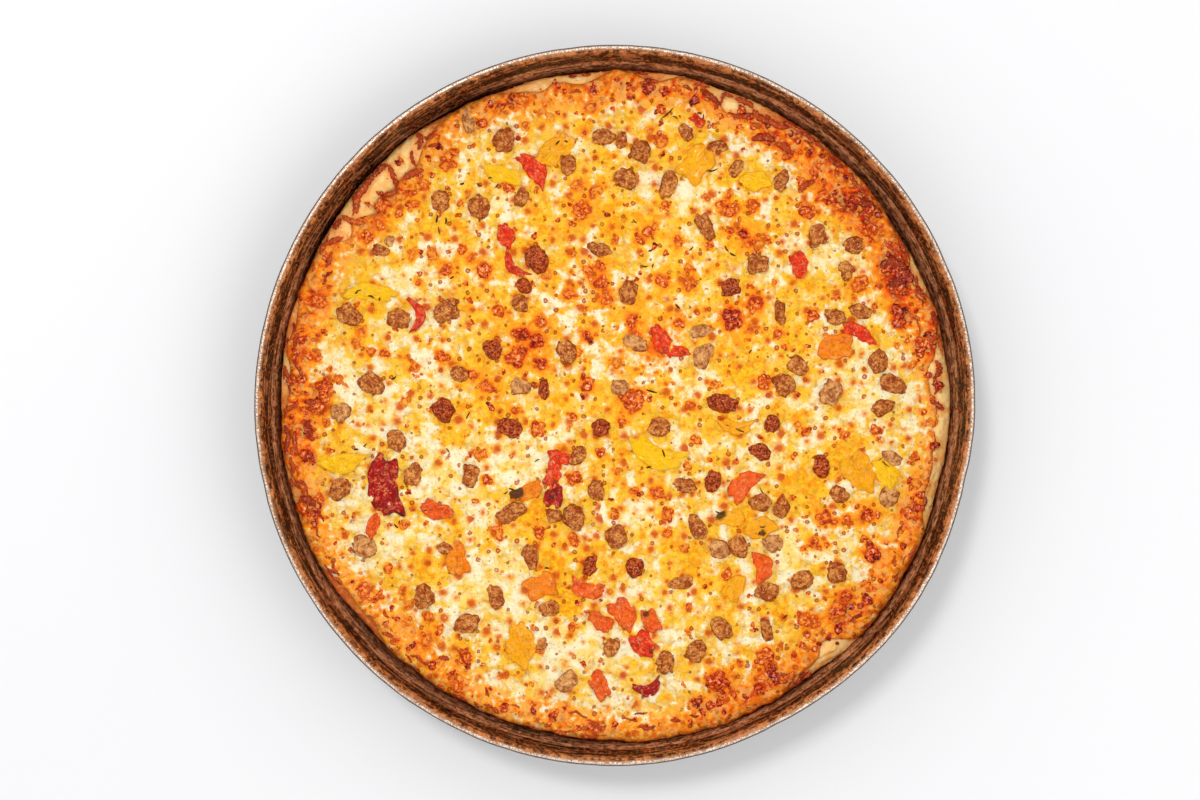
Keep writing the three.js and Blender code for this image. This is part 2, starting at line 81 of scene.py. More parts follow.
# Smaller bits of sausage, sunk in the cheese
BITS = [
    (-147, 285, 26, 12, -78), (-47, 241, 22, 17, -70), (-11, 269, 23, 18, 0),
    (7, 264, 19, 13, 85), (54, 221, 26, 18, 70), (71, 274, 18, 14, -60),
    (101, 258, 26, 15, 5), (122, 237, 20, 12, 60), (167, 225, 23, 15, 70),
    (-175, 205, 22, 19, 60), (-226, 164, 14, 11, 60), (-235, 155, 18, 14, -10),
    (-93, 208, 20, 14, 70), (-15, 156, 26, 14, -22), (-95, 102, 19, 17, -20),
    (-91, 120, 18, 15, -60), (116, 118, 20, 18, 0), (203, 170, 24, 18, 80),
    (240, 160, 22, 18, 10), (232, 135, 21, 15, -75), (247, 94, 25, 14, -15),
    (166, 93, 25, 12, -85), (-217, 87, 23, 21, 0), (-274, -7, 21, 19, 80),
    (-122, 56, 22, 18, -60), (-156, 31, 20, 16, -20), (-95, 19, 22, 18, 0),
    (-71, 16, 23, 12, -85), (5, 18, 20, 17, 0), (21, 63, 26, 15, -20),
    (87, 74, 22, 15, 10), (88, 50, 27, 18, 65), (44, -22, 26, 17, -8),
    (158, -18, 18, 16, 90), (220, 89, 22, 16, -20), (264, 44, 23, 19, -75),
    (183, 39, 24, 18, -30), (268, -2, 25, 15, 18), (-218, -35, 23, 19, -80),
    (-202, -70, 25, 18, 75), (-276, -84, 25, 20, 50), (-144, -71, 26, 18, 85),
    (-18, -86, 22, 16, 90), (-61, -110, 19, 15, 0), (-14, -22, 20, 18, 20),
    (-38, -51, 22, 15, 50), (70, -80, 25, 15, -10), (98, -77, 24, 17, 80),
    (83, -123, 27, 16, -65), (145, -46, 21, 17, -30), (146, -97, 24, 18, 0),
    (167, -102, 23, 17, 80), (105, -144, 21, 19, -20), (124, -141, 25, 18, -65),
    (159, -139, 21, 17, -30), (207, -62, 25, 17, -65), (225, -89, 21, 16, -30),
    (277, -53, 22, 15, -15), (275, -93, 22, 19, 60), (-170, -143, 16, 14, 0),
    (-84, -151, 26, 17, -80), (-119, -192, 26, 17, -75), (-65, -204, 21, 17, 15),
    (-24, -161, 23, 13, 70), (-3, -243, 22, 15, 70), (-73, -239, 14, 10, 60),
    (20, -162, 20, 18, -60), (67, -178, 28, 14, 10), (152, -186, 24, 19, -10),
    (152, -225, 24, 13, -80), (51, -258, 24, 19, 50), (222, -167, 22, 19, -75),
]

# Chunks and bits that are dark red-brown all over: x, y
DARK_MEAT = [
    (-91, 120), (116, 118), (-122, 56), (-71, 16), (108, 2), (158, -18), (-14, -22), (98, -77),
    (145, -46), (-24, -161), (20, -162), (-78, 146), (-172, -4), (-105, -23), (207, -62),
]

# Chunks and bits that lie under a film of cheese: x, y
VEILED_MEAT = [
    (21, 63), (216, 13), (275, -93), (-147, 285), (87, 74), (-95, 19), (277, -53), (-47, -276),
    (-274, -7), (-226, 164), (5, 18), (88, 50), (-250, -142), (105, -144), (159, -139),
]


class Pepper(Enum):
    """Colours of roasted pepper, from pale to dark, as places on the pepper ramp."""

    YELLOW = 0.0
    GOLD = 0.2
    ORANGE = 0.4
    ORANGE_RED = 0.6
    RED = 0.8
    DARK_RED = 1.0


Y, G, O, OR, R, D = Pepper

# Pieces of pepper that are nodes: name, x, y, length, width, turn, bend, colour
PEPPER_PIECES = [
    ("red_top", -82, 236, 40, 20, -52, 3, R),
    ("orange_top", -60, 257, 43, 25, 35, -3, G),
    ("red_upper_left", -109, 170, 25, 18, -75, 0, R),
    ("yellow_left", -245, 112, 54, 17, -2, 2, Y),
    ("red_crescent", -200, 91, 36, 11, -82, 5, R),
    ("orange_upper", 82, 242, 42, 31, 50, 0, G),
    ("yellow_upper_right", 141, 225, 32, 19, 0, 0, Y),
    ("red_right", 184, 141, 28, 18, -80, 2, R),
    ("orange_right", 221, 59, 38, 28, 15, 0, O),
    ("red_behind_orange", 244, 72, 38, 15, -28, 2, R),
    ("yellow_lower_left", -274, -56, 48, 20, 5, -3, Y),
    ("dark_red_large", -229, -81, 64, 33, -80, -3, D),
    ("red_left_of_middle", -178, -104, 34, 18, -15, -3, OR),
    ("dark_red_middle", -61, -90, 27, 20, 80, 0, D),
    ("orange_charred", -88, -87, 36, 17, 20, 0, O),
    ("yellow_middle", 42, -47, 60, 24, -22, -5, Y),
    ("orange_red_right", 130, -81, 40, 22, 45, 3, OR),
    ("orange_lower_right", 146, -123, 33, 22, 15, 0, G),
    ("orange_red_lower_right", 147, -162, 32, 19, -80, 2, OR),
    ("yellow_fold_left", 245, -67, 42, 33, -60, 0, G),
    ("yellow_fold_right", 271, -69, 34, 22, -60, 2, Y),
    ("orange_lower_left", -158, -154, 36, 23, -80, 0, O),
    ("orange_below_middle", -74, -181, 34, 27, 15, 0, O),
    ("orange_strip", -27, -183, 36, 17, -12, -3, OR),
    ("orange_red_bottom", 8, -209, 34, 25, -55, 2, OR),
    ("red_bottom", 28, -239, 28, 24, -60, 0, R),
    ("yellow_bottom", -94, -240, 46, 30, -85, 0, G),
    ("dark_red_bottom", 33, -282, 30, 13, 15, -4, D),
    ("orange_red_lowest", -15, -280, 32, 18, -72, 0, OR),
]

# Smaller bits of pepper, sunk in the cheese: x, y, length, width, turn, bend, colour
PEPPER_BITS = [
    (-112, 231, 42, 18, -18, 0, Y), (-100, 141, 36, 10, -50, -4, R), (83, 285, 17, 11, -40, 0, R),
    (-55, -52, 26, 14, -15, 0, R), (-62, -70, 30, 18, 80, 0, R), (116, -114, 32, 17, 0, 2, G),
    (121, -20, 36, 14, -5, -3, G), (-14, -217, 28, 17, -35, 0, OR), (36, -216, 26, 18, -60, 0, OR),
    (47, 65, 34, 18, -65, 0, R), (64, 54, 22, 12, -5, 0, R), (120, -183, 28, 20, 60, 0, G),
    (-241, -121, 26, 13, 70, 2, OR),
]

# Blackened ends of the pepper pieces: x, y, radius, darkness
PEPPER_SCORCH = [
    (-98, -87, 9, 1.0), (-109, -88, 5, 1.0), (-217, -114, 9, 1.0), (-229, -95, 6, 0.5),
    (105, -108, 8, 1.0), (130, -102, 4, 0.8), (148, -128, 5, 0.8), (-27, -176, 4, 0.8),
    (31, -209, 6, 0.7), (265, -52, 4, 0.9), (-75, -160, 5, 0.6), (36, -246, 5, 0.6),
    (-63, -92, 5, 0.7), (20, -288, 5, 0.9), (230, 66, 4, 0.5),
]

# Blisters of browned cheese on the board: x, y, radius, and darkness from 0 to 1
BLISTERS = [
    (500, 109, 4, .4), (522, 100, 6, .5), (525, 125, 5, .4), (550, 118, 5, .4), (545, 103, 3, .4),
    (591, 107, 5, .5), (585, 132, 4, .4), (448, 160, 8, .5), (649, 130, 4, .4), (663, 141, 7, .5),
    (650, 88, 5, 1), (367, 236, 6, .6), (379, 224, 5, .5), (383, 205, 8, .6), (402, 196, 6, .5),
    (423, 184, 6, .5), (433, 253, 6, .5), (447, 268, 6, .6), (413, 252, 3, .4), (411, 257, 3, .4),
    (319, 300, 7, .6), (416, 204, 4, .4), (418, 281, 4, .4), (461, 201, 3, .5), (468, 192, 3, .5),
    (484, 272, 7, .8), (568, 292, 6, .6), (547, 275, 5, .5), (595, 190, 6, .5), (583, 210, 9, .6),
    (576, 183, 6, .5), (509, 185, 6, .5), (601, 265, 5, .6), (588, 270, 5, .5), (600, 282, 6, .6),
    (608, 297, 6, .6), (575, 254, 3, .4), (462, 250, 5, .5), (472, 258, 4, .4), (648, 232, 5, .6),
    (640, 240, 4, .6), (616, 240, 4, .5), (656, 225, 4, .5), (679, 240, 5, .6), (667, 204, 4, .5),
    (663, 280, 6, .6), (689, 284, 6, .6), (689, 267, 4, .5), (710, 245, 4, .6), (729, 193, 4, .5),
    (732, 210, 7, .6), (719, 203, 4, .5), (706, 197, 4, .5), (744, 232, 5, 1), (731, 230, 4, .6),
    (759, 243, 6, .6), (748, 244, 3, .5), (755, 205, 6, .6), (757, 300, 6, .6), (775, 282, 3, .5),
    (869, 210, 7, .8), (870, 228, 6, .7), (824, 195, 6, .6), (841, 207, 5, .6), (808, 210, 8, .6),
    (860, 284, 8, .6), (408, 357, 3, .5), (415, 367, 5, .5), (442, 357, 6, .6), (318, 335, 3, .7),
    (303, 340, 4, .8), (309, 357, 4, .7), (318, 357, 4, .6), (323, 386, 8, .7), (318, 407, 8, .7),
    (330, 368, 3, .5), (370, 352, 5, .5), (385, 352, 5, .5), (355, 343, 5, .4), (362, 330, 5, .4),
    (405, 403, 5, .4), (523, 333, 5, .9), (515, 333, 4, .8), (538, 340, 6, .9), (523, 350, 4, .7),
    (515, 357, 8, .7), (541, 321, 5, .7), (541, 363, 6, .8), (488, 387, 7, .6), (588, 385, 6, .7),
    (578, 352, 4, .5), (499, 311, 6, .6), (516, 410, 5, .5), (587, 335, 5, .7), (472, 375, 5, .6),
    (574, 416, 4, .6), (732, 318, 10, .9), (756, 305, 6, .6), (754, 327, 5, .6), (779, 333, 5, .6),
    (765, 383, 7, .7), (680, 323, 5, .6), (632, 320, 6, .7), (618, 363, 5, .5), (692, 405, 5, .6),
    (716, 385, 5, .5), (635, 335, 4, .6), (632, 400, 10, .7), (812, 315, 6, .6), (913, 364, 4, .5),
    (344, 535, 4, .5), (346, 517, 3, .4), (326, 423, 4, .6), (405, 525, 5, .5), (303, 505, 7, .6),
    (320, 500, 5, .5), (538, 428, 7, .6), (480, 455, 6, .5), (488, 480, 5, .7), (498, 533, 7, .5),
    (540, 533, 6, .5), (575, 478, 7, .6), (573, 537, 5, .6), (615, 515, 5, .5), (602, 453, 5, .6),
    (697, 440, 5, .6), (688, 465, 4, .5), (668, 515, 6, .6), (669, 533, 5, .5), (635, 491, 4, .5),
    (658, 492, 6, .6), (710, 460, 3, .5), (623, 422, 4, .6), (618, 471, 4, .5), (845, 435, 5, .6),
    (876, 430, 6, .6), (868, 515, 6, .7), (825, 517, 7, .7), (836, 522, 3, .6), (848, 520, 4, .6),
    (793, 457, 3, .5), (908, 512, 7, .6), (807, 430, 5, .6), (915, 483, 5, .5), (403, 590, 4, .4),
    (402, 598, 3, .4), (410, 605, 5, .4), (366, 590, 7, .6), (428, 617, 5, .4), (440, 629, 4, .4),
    (426, 640, 6, .5), (407, 622, 5, .4), (388, 568, 5, .4), (463, 657, 7, .6), (573, 627, 5, .6),
    (575, 541, 5, .6), (726, 574, 6, .6), (688, 632, 4, .5), (690, 607, 4, .5), (686, 548, 5, .5),
    (847, 597, 6, .6), (838, 612, 8, .6), (805, 620, 7, .6), (816, 622, 5, .5), (872, 552, 8, 1),
    (803, 549, 3, .6), (815, 543, 5, .6), (828, 545, 3, .6), (505, 676, 3, .5), (547, 698, 3, .5),
    (534, 704, 3, .5), (592, 726, 6, .6), (457, 684, 6, .6), (718, 680, 10, .7), (763, 678, 6, .6),
    (766, 657, 8, .7), (741, 665, 3, .5), (698, 703, 5, 1), (856, 202, 7, 1), (848, 199, 5, 1),
    (890, 268, 8, 1), (902, 276, 9, 1), (897, 288, 6, .9), (898, 311, 7, 1), (901, 322, 6, .9),
    (921, 342, 6, .8), (930, 345, 5, .8), (307, 430, 5, .9), (307, 455, 6, .9), (300, 380, 5, .8),
]

# Warm cheddar in the cheese where positive, white curd where negative: x, y, radius, amount
CHEESE_PATCHES = [
    (560, 158, 24, .5), (495, 168, 16, .5), (445, 218, 24, .7), (545, 225, 30, .7),
    (615, 220, 28, .8), (650, 228, 18, .6), (700, 152, 26, .6), (758, 180, 20, .6),
    (730, 255, 24, .6), (675, 282, 24, .6), (610, 262, 18, .4), (640, 310, 22, .5),
    (520, 292, 22, .5), (520, 342, 28, .6), (480, 330, 22, .5), (470, 372, 20, .5),
    (490, 402, 26, .6), (455, 430, 18, .7), (560, 402, 16, .5), (640, 412, 24, .7),
    (655, 455, 20, .5), (612, 432, 14, .5), (720, 340, 22, .5), (762, 355, 26, .6),
    (738, 382, 22, .6), (725, 430, 22, .7), (792, 430, 16, .5), (800, 350, 20, .5),
    (820, 284, 18, .8), (796, 300, 12, .8), (782, 322, 12, .7), (850, 286, 14, .6),
    (730, 215, 20, .5), (590, 390, 18, .5), (380, 288, 24, .5), (360, 330, 16, .3),
    (338, 432, 14, .6), (335, 462, 24, .5), (450, 545, 26, .8), (418, 572, 18, .5),
    (540, 502, 20, .6), (536, 532, 26, .8), (548, 562, 18, .7), (582, 570, 24, .7),
    (556, 592, 20, .8), (572, 608, 16, .7), (503, 652, 18, .7), (528, 660, 14, .5),
    (612, 480, 16, .4), (700, 490, 18, .5), (690, 560, 26, .8), (720, 590, 20, .7),
    (742, 522, 16, .6), (758, 526, 14, .7), (780, 482, 18, .7), (802, 482, 22, .8),
    (816, 502, 14, .6), (832, 460, 16, .7), (850, 448, 20, .8), (782, 610, 16, .5),
    (850, 622, 18, .4), (440, 180, 22, .4), (600, 170, 18, .3), (670, 240, 18, .4),
    (385, 542, 24, -1), (368, 502, 18, -.8), (385, 428, 18, -.7), (440, 462, 24, -1),
    (442, 484, 16, -.8), (430, 536, 18, -.8), (510, 597, 30, -1.2), (470, 590, 20, -.8),
    (455, 612, 14, -.6), (590, 640, 20, -.8), (560, 650, 20, -.9), (545, 682, 20, -.8),
    (500, 692, 18, -.6), (612, 690, 16, -.6), (520, 560, 16, -.7), (480, 515, 22, -.9),
    (525, 470, 22, -.8), (500, 440, 14, -.5), (632, 508, 18, -.6), (640, 398, 12, -.6),
    (650, 372, 14, -.7), (612, 350, 9, -.6), (700, 382, 14, -.7), (690, 442, 12, -.7),
    (772, 470, 20, -.8), (788, 452, 14, -.6), (780, 532, 22, -1), (792, 562, 16, -.8),
    (802, 592, 14, -.6), (830, 430, 18, -.7), (860, 380, 20, -.9), (884, 402, 20, -.8),
    (852, 420, 12, -.6), (872, 360, 14, -.7), (820, 264, 16, -.7), (860, 264, 14, -.6),
    (812, 304, 12, -.5), (842, 300, 12, -.5), (590, 150, 12, -.5), (640, 182, 14, -.5),
    (700, 196, 20, -.7), (770, 212, 14, -.3), (500, 200, 12, -.6), (420, 290, 18, -.6),
    (400, 272, 16, -.6), (330, 352, 14, -.6), (346, 376, 20, -.8), (340, 402, 14, -.6),
    (380, 408, 14, -.6), (690, 650, 18, -.4), (740, 560, 12, -.6), (660, 590, 16, -.5),
    (880, 470, 12, -.3), (846, 560, 14, -.4), (400, 330, 16, -.4), (430, 320, 12, -.4),
    (565, 430, 14, -.6), (720, 450, 12, -.6), (600, 600, 14, -.4), (710, 520, 12, -.5),
    (650, 640, 12, -.5), (620, 655, 14, -.6), (820, 400, 14, -.5), (440, 380, 14, -.4),
]

# Where the cheese has toasted as a whole: x, y, radius, amount
TOASTED_PLACES = [
    (600, 300, 70, .16), (530, 340, 50, .16), (440, 330, 34, .12), (680, 260, 50, .12),
    (740, 330, 50, .14), (470, 260, 44, .12), (560, 200, 50, .10), (660, 340, 44, .14),
    (770, 240, 44, .16), (330, 330, 34, .14), (400, 230, 40, .16), (330, 420, 26, .14),
    (850, 510, 40, .20), (880, 300, 34, .16), (620, 400, 40, .10), (480, 380, 34, .12),
    (740, 660, 44, .14), (430, 640, 34, .12), (820, 600, 34, .14), (600, 110, 44, .14),
    (655, 345, 16, .45), (566, 455, 14, .40), (563, 714, 12, .35), (640, 490, 18, .14),
]

# Ridges of crisped cheese on the board: three points that a ridge bends through, its width, and
# its darkness from 0 to 1
RIDGES = [
    (367, 172, 378, 167, 390, 166, 6, .8), (390, 165, 394, 177, 399, 191, 6, .7),
    (376, 176, 368, 182, 366, 194, 6, .75), (363, 178, 358, 195, 357, 214, 8, .6),
    (352, 192, 355, 205, 353, 216, 3, .6), (376, 191, 386, 194, 397, 190, 5, .5),
    (413, 150, 412, 158, 416, 165, 4, .8), (404, 179, 412, 173, 424, 169, 7, .5),
    (342, 214, 352, 221, 366, 222, 6, .4), (318, 252, 332, 242, 344, 237, 6, .6),
    (414, 133, 421, 138, 418, 150, 6, .8), (326, 224, 332, 222, 342, 218, 6, .9),
    (722, 104, 725, 94, 736, 92, 4, .7), (737, 93, 746, 99, 753, 109, 6, .6),
    (753, 109, 760, 118, 770, 122, 7, .6), (700, 90, 710, 97, 722, 106, 6, .8),
    (728, 111, 742, 116, 754, 113, 5, .7), (766, 114, 775, 125, 790, 128, 6, .6),
    (752, 139, 766, 136, 776, 141, 9, .8), (782, 125, 792, 121, 802, 128, 5, .6),
    (794, 135, 812, 136, 823, 153, 5, .8), (776, 142, 785, 146, 792, 153, 9, .6),
    (828, 157, 835, 163, 844, 168, 6, .8), (852, 170, 852, 180, 863, 191, 5, .6),
    (848, 199, 862, 203, 876, 208, 8, 1), (800, 192, 806, 184, 816, 180, 7, .7),
    (882, 268, 893, 262, 906, 269, 12, .9), (891, 287, 900, 280, 911, 272, 11, 1),
    (900, 235, 904, 251, 912, 246, 5, .5), (917, 275, 918, 290, 926, 300, 4, .7),
    (930, 312, 936, 318, 932, 326, 6, .8), (927, 346, 935, 336, 945, 332, 6, .5),
    (932, 347, 939, 340, 945, 356, 4, .3), (935, 360, 939, 370, 933, 379, 6, .7),
    (935, 381, 937, 388, 934, 395, 3, .8), (930, 400, 938, 405, 943, 410, 6, .7),
    (284, 365, 288, 375, 294, 386, 4, .6), (294, 359, 300, 369, 303, 379, 4, .7),
    (282, 413, 290, 408, 299, 404, 5, .5), (304, 402, 315, 404, 323, 413, 8, .8),
    (303, 419, 308, 431, 313, 441, 8, .9), (286, 424, 289, 440, 285, 456, 6, .8),
    (295, 430, 296, 445, 299, 456, 5, .6), (303, 459, 308, 455, 314, 462, 7, .8),
    (295, 486, 303, 482, 309, 495, 4, .7), (299, 503, 308, 499, 316, 507, 9, .8),
]

# Flecks of herb and char on the board: x, y, length, turn
FLECKS = [
    (462, 183, 5, 20), (479, 184, 6, -30), (497, 185, 5, 60), (490, 177, 4, 10), (558, 142, 6, 40),
    (567, 141, 5, -20), (668, 113, 16, 40), (713, 170, 12, 15), (704, 116, 6, 80),
    (635, 221, 6, -50), (651, 250, 5, 20), (645, 266, 7, -10), (653, 265, 5, 70),
    (692, 248, 6, 40), (446, 220, 7, 85), (452, 277, 5, 30), (437, 218, 9, 80), (439, 230, 8, -75),
    (357, 292, 5, 60), (372, 296, 7, -20), (394, 378, 6, 35), (678, 306, 7, -40),
    (652, 391, 12, -15), (751, 351, 5, 50), (727, 248, 8, -60), (733, 254, 7, -30),
    (356, 449, 5, 0), (365, 445, 5, 50), (389, 525, 5, 20), (396, 526, 6, -40), (399, 522, 4, 70),
    (425, 510, 5, 10), (448, 450, 6, -50), (468, 415, 8, 60), (537, 460, 6, 30),
    (664, 453, 8, -70), (649, 467, 5, 20), (720, 513, 9, -20), (725, 425, 9, 10),
    (740, 430, 10, -25), (763, 527, 6, 0), (760, 533, 5, 60), (765, 540, 5, -40),
    (763, 492, 11, -55), (795, 497, 5, 20), (786, 617, 6, 45), (547, 568, 5, -10),
    (885, 463, 12, -50), (885, 490, 6, 80), (676, 116, 6, -30), (700, 112, 5, 0),
    (506, 493, 5, 30), (512, 489, 6, -10), (360, 290, 4, 10), (380, 299, 4, 60),
]


# ---------------------------------------- small tools


def colour(code: str) -> tuple[float, float, float, float]:
    """Turn a screen colour into the linear values a shader takes.

    Args:
        code: the colour as "#RRGGBB".

    Returns:
        Linear red, green and blue, and an alpha of 1.
    """
    parts = [int(code[i : i + 2], 16) / 255 for i in (1, 3, 5)]
    linear = [c / 12.92 if c <= 0.04045 else ((c + 0.055) / 1.055) ** 2.4 for c in parts]
    return (linear[0], linear[1], linear[2], 1.0)


def smoothstep(low: float, high: float, value: Array) -> Array:
    """Blend smoothly from 0 at low to 1 at high."""
    t = np.clip((value - low) / (high - low), 0.0, 1.0)
    return t * t * (3.0 - 2.0 * t)


def bumps(rows: Rows, degrees: Array) -> Array:
    """Add up smooth bumps round the pan.

    Args:
        rows: each bump's place in degrees, half width in degrees, and size.
        degrees: the angles to look at.

    Returns:
        The sum of the bumps at each angle.
    """
    total = np.zeros_like(degrees)
    for at, half_width, size in rows:
        t = ((degrees - at + 540.0) % 360.0 - 180.0) / half_width
        total += size * np.exp(-t * t)
    return total


def waves(rows: Rows, degrees: Array) -> Array:
    """Add up sine waves round the pan, each with a size, a count and a phase."""
    a = np.radians(degrees)
    return sum(size * np.sin(count * a + phase) for size, count, phase in rows)


def degrees_of(x: Array, y: Array) -> Array:
    """Angle of each point about the middle of the pan, from 0 to 360 degrees."""
    return np.degrees(np.arctan2(y, x)) % 360.0


def on_board(x: Array | float, y: Array | float) -> tuple:
    """Turn a place on the board into millimetres from the middle of the pan."""
    return (x - BOARD_MIDDLE[0]) * GRID, (BOARD_MIDDLE[1] - y) * GRID


def from_board(rows: list[tuple]) -> Array:
    """Turn rows that start with a place on the board into millimetres from the middle.

    Args:
        rows: board x and y, then a radius in grid steps and an amount.

    Returns:
        One row of x, y and radius in millimetres, and the amount, for each row.
    """
    table = np.array(rows, float)
    table[:, 0], table[:, 1] = on_board(table[:, 0], table[:, 1])
    table[:, 2] *= GRID
    return table


def bent_through(a: float, b: float, c: float, t: Array) -> Array:
    """Places on a curve that starts at a, passes b half way and ends at c."""
    return (1 - t) ** 2 * a + 2 * t * (1 - t) * (2 * b - (a + c) / 2) + t * t * c


class Dice:
    """The same seeded random numbers as the solids were drawn with."""

    def __init__(self, seed: int) -> None:
        """Start the series at a seed."""
        self.state = seed & 0xFFFFFFFF

    def roll(self) -> float:
        """Return the next number from 0 to 1.

        Returns:
            The number.
        """
        self.state = (self.state + 0x6D2B79F5) & 0xFFFFFFFF
        t = self.state
        t = ((t ^ (t >> 15)) * (1 | t)) & 0xFFFFFFFF
        t = ((t + (((t ^ (t >> 7)) * (61 | t)) & 0xFFFFFFFF)) & 0xFFFFFFFF) ^ t
        return ((t ^ (t >> 14)) & 0xFFFFFFFF) / 4294967296.0


class Ripples:
    """Uneven relief made of seeded waves in all directions."""

    def __init__(self, shortest: float, longest: float, count: int, seed: int) -> None:
        """Draw the waves.

        Args:
            shortest, longest: the range of wavelengths in millimetres.
            count: how many waves are added up.
            seed: the seed of the draw.
        """
        rng = np.random.default_rng(seed)
        length = shortest * (longest / shortest) ** rng.random(count)
        heading = rng.random(count) * 2 * np.pi
        self.kx = 2 * np.pi * np.cos(heading) / length
        self.ky = 2 * np.pi * np.sin(heading) / length
        self.phase = rng.random(count) * 2 * np.pi
        self.scale = 1.0 / math.sqrt(count / 2)

    def at(self, x: Array, y: Array) -> Array:
        """Add the waves up.

        Args:
            x, y: places in millimetres.

        Returns:
            Heights, about -1 to 1 for the most part.
        """
        total = np.zeros_like(x)
        for kx, ky, phase in zip(self.kx, self.ky, self.phase):
            total += np.sin(kx * x + ky * y + phase)
        return total * self.scale


# ---------------------------------------- the forms


@dataclass(frozen=True)
class PanForm:
    """Sizes of the pan: a flared wall with a rolled rim, pushed in and out by dents."""

    height: float = 50.0
    outer_radius: float = 205.2
    sheet: float = 1.4
    bead_radius: float = 2.3
    inner_at_floor: float = 191.0
    flare: float = 0.2065
    corner: float = 6.0
    dents: tuple = ((300, 15, -1.6), (345, 10, -1.4), (132, 22, 0.6))

    @property
    def crown(self) -> float:
        """Radius of the top of the rolled rim."""
        return self.outer_radius - self.bead_radius

    @property
    def bend(self) -> tuple[float, float]:
        """Radius and height of the middle of the corner's bend."""
        z = self.sheet + self.corner
        return self.wall_inner(z) - self.corner, z

    def wall_inner(self, z: Array) -> Array:
        """Inner radius of the wall at a height."""
        return self.inner_at_floor + self.flare * z

    def dent(self, degrees: Array, z: Array) -> Array:
        """How far the dents push the wall outward."""
        return bumps(self.dents, degrees) * np.maximum(0.0, z / self.height)


@dataclass(frozen=True)
class PizzaForm:
    """Sizes of the dough and the cheese, and the heights of their surfaces."""

    dough_top_height: float = 22.0
    dough_radius: float = 194.4
    dough_crest: float = 31.0
    crest_inset: float = 5.5
    foot_inset: float = 22.0
    wall_clearance: float = 0.7
    swells_out: tuple = (
        (135, 14, 1.6), (282, 10, 1.4), (318, 9, 1.2), (36, 12, -1.8), (232, 14, -1.9),
        (250, 10, -0.9),
    )
    crags: tuple = ((0.45, 9, 1), (0.35, 17, 2.2), (0.25, 29, 0))
    lumps: tuple = ((0.6, 11, 0.7), (0.5, 19, 2), (0.3, 31, 4))
    cheese_field: float = 26.8
    cheese_on_rim: float = 1.7
    cheese_edge_inset: float = 4.2
    cheese_fillet: float = 1.2
    ragged: tuple = ((0.7, 13, 0.4), (0.6, 23, 1.9))
    slow_waves: tuple = (
        (0.55, 0.105, 0.06, 0.4), (0.45, -0.07, 0.13, 2.1), (0.35, 0.19, -0.12, 4),
    )
    bare_patches: tuple = (
        (131, 6.5, 13), (143.5, 4.5, 10), (104, 4, 8), (96, 3, 7), (83, 3, 8), (69.5, 4, 11),
        (62, 3, 7), (22, 3, 6), (5, 6, 9), (353, 6, 8.5), (343, 3.5, 6), (312, 3, 9),
        (304.5, 3, 7), (221, 3, 6), (214, 3.5, 8), (195, 3, 9), (176.5, 4, 9), (165.5, 3, 7),
    )

    @property
    def rim_height(self) -> float:
        """How far the crest of the rim rises above the flat of the dough."""
        return self.dough_crest - self.dough_top_height

    def dough_edge(self, degrees: Array) -> Array:
        """Uneven outer radius of the dough."""
        return self.dough_radius + bumps(self.swells_out, degrees) + waves(self.crags, degrees)

    def rim_lumps(self, degrees: Array) -> Array:
        """Lumps that run along the rim."""
        return waves(self.lumps, degrees)

    def swells(self, x: Array, y: Array) -> Array:
        """Slow swells of the cheese."""
        return sum(h * np.sin(kx * x + ky * y + phase) for h, kx, ky, phase in self.slow_waves)

    def dough_top(self, inset: Array, degrees: Array) -> Array:
        """Height of the dough, given how far inside its edge a point is."""
        rise = 1.0 - smoothstep(self.crest_inset, self.foot_inset, inset)
        return self.dough_top_height + (self.rim_height + self.rim_lumps(degrees)) * rise

    def cheese_inset(self, degrees: Array) -> Array:
        """How far the cheese stays inside the dough's edge."""
        ragged = waves(self.ragged, degrees)
        return self.cheese_edge_inset + ragged + bumps(self.bare_patches, degrees)

    def inset(self, x: Array, y: Array) -> Array:
        """How far inside the dough's edge each point is."""
        return self.dough_edge(degrees_of(x, y)) - np.hypot(x, y)

    def cheese_top(self, x: Array, y: Array) -> Array:
        """Height of the smooth top of the cheese.

        Args:
            x, y: places in millimetres.

        Returns:
            Heights in millimetres.
        """
        degrees = degrees_of(x, y)
        inset = self.inset(x, y)
        field = self.cheese_field + self.swells(x, y) * smoothstep(3, 30, inset)
        over_dough = self.dough_top(inset, degrees) + self.cheese_on_rim
        k = self.cheese_fillet
        return np.log(np.exp(field * k) + np.exp(over_dough * k)) / k


@dataclass(frozen=True)
class Topping:
    """One topping where it lies: its place and size in millimetres, and its turn in degrees."""

    x: float
    y: float
    length: float
    width: float
    turn: float
    bend: float = 0.0

    @classmethod
    def from_steps(cls, row: tuple) -> "Topping":
        """Make a topping from a row of the layout in grid steps.

        Args:
            row: x, y, length, width and turn, and a bend if there is one.

        Returns:
            The topping.
        """
        x, y, length, width, turn, *more = row
        bend = more[0] if more else 0.0
        return cls(x * GRID, y * GRID, length * GRID, width * GRID, turn, bend * GRID)

    def place(self, u: Array, v: Array) -> tuple[Array, Array]:
        """Turn places along and across the topping into places on the pizza."""
        c, s = math.cos(math.radians(self.turn)), math.sin(math.radians(self.turn))
        return self.x + u * c - v * s, self.y + u * s + v * c

    def reach(self, x: Array, y: Array) -> Array:
        """How far places are from the middle of the topping.

        Args:
            x, y: places in millimetres.

        Returns:
            Distances, 1 at its outline.
        """
        c, s = math.cos(math.radians(self.turn)), math.sin(math.radians(self.turn))
        dx, dy = x - self.x, y - self.y
        u = (dx * c + dy * s) / (self.length / 2)
        v = (-dx * s + dy * c - self.bend * (1 - 2 * np.clip(u, -1, 1) ** 2)) / (self.width / 2)
        return np.hypot(u, v)


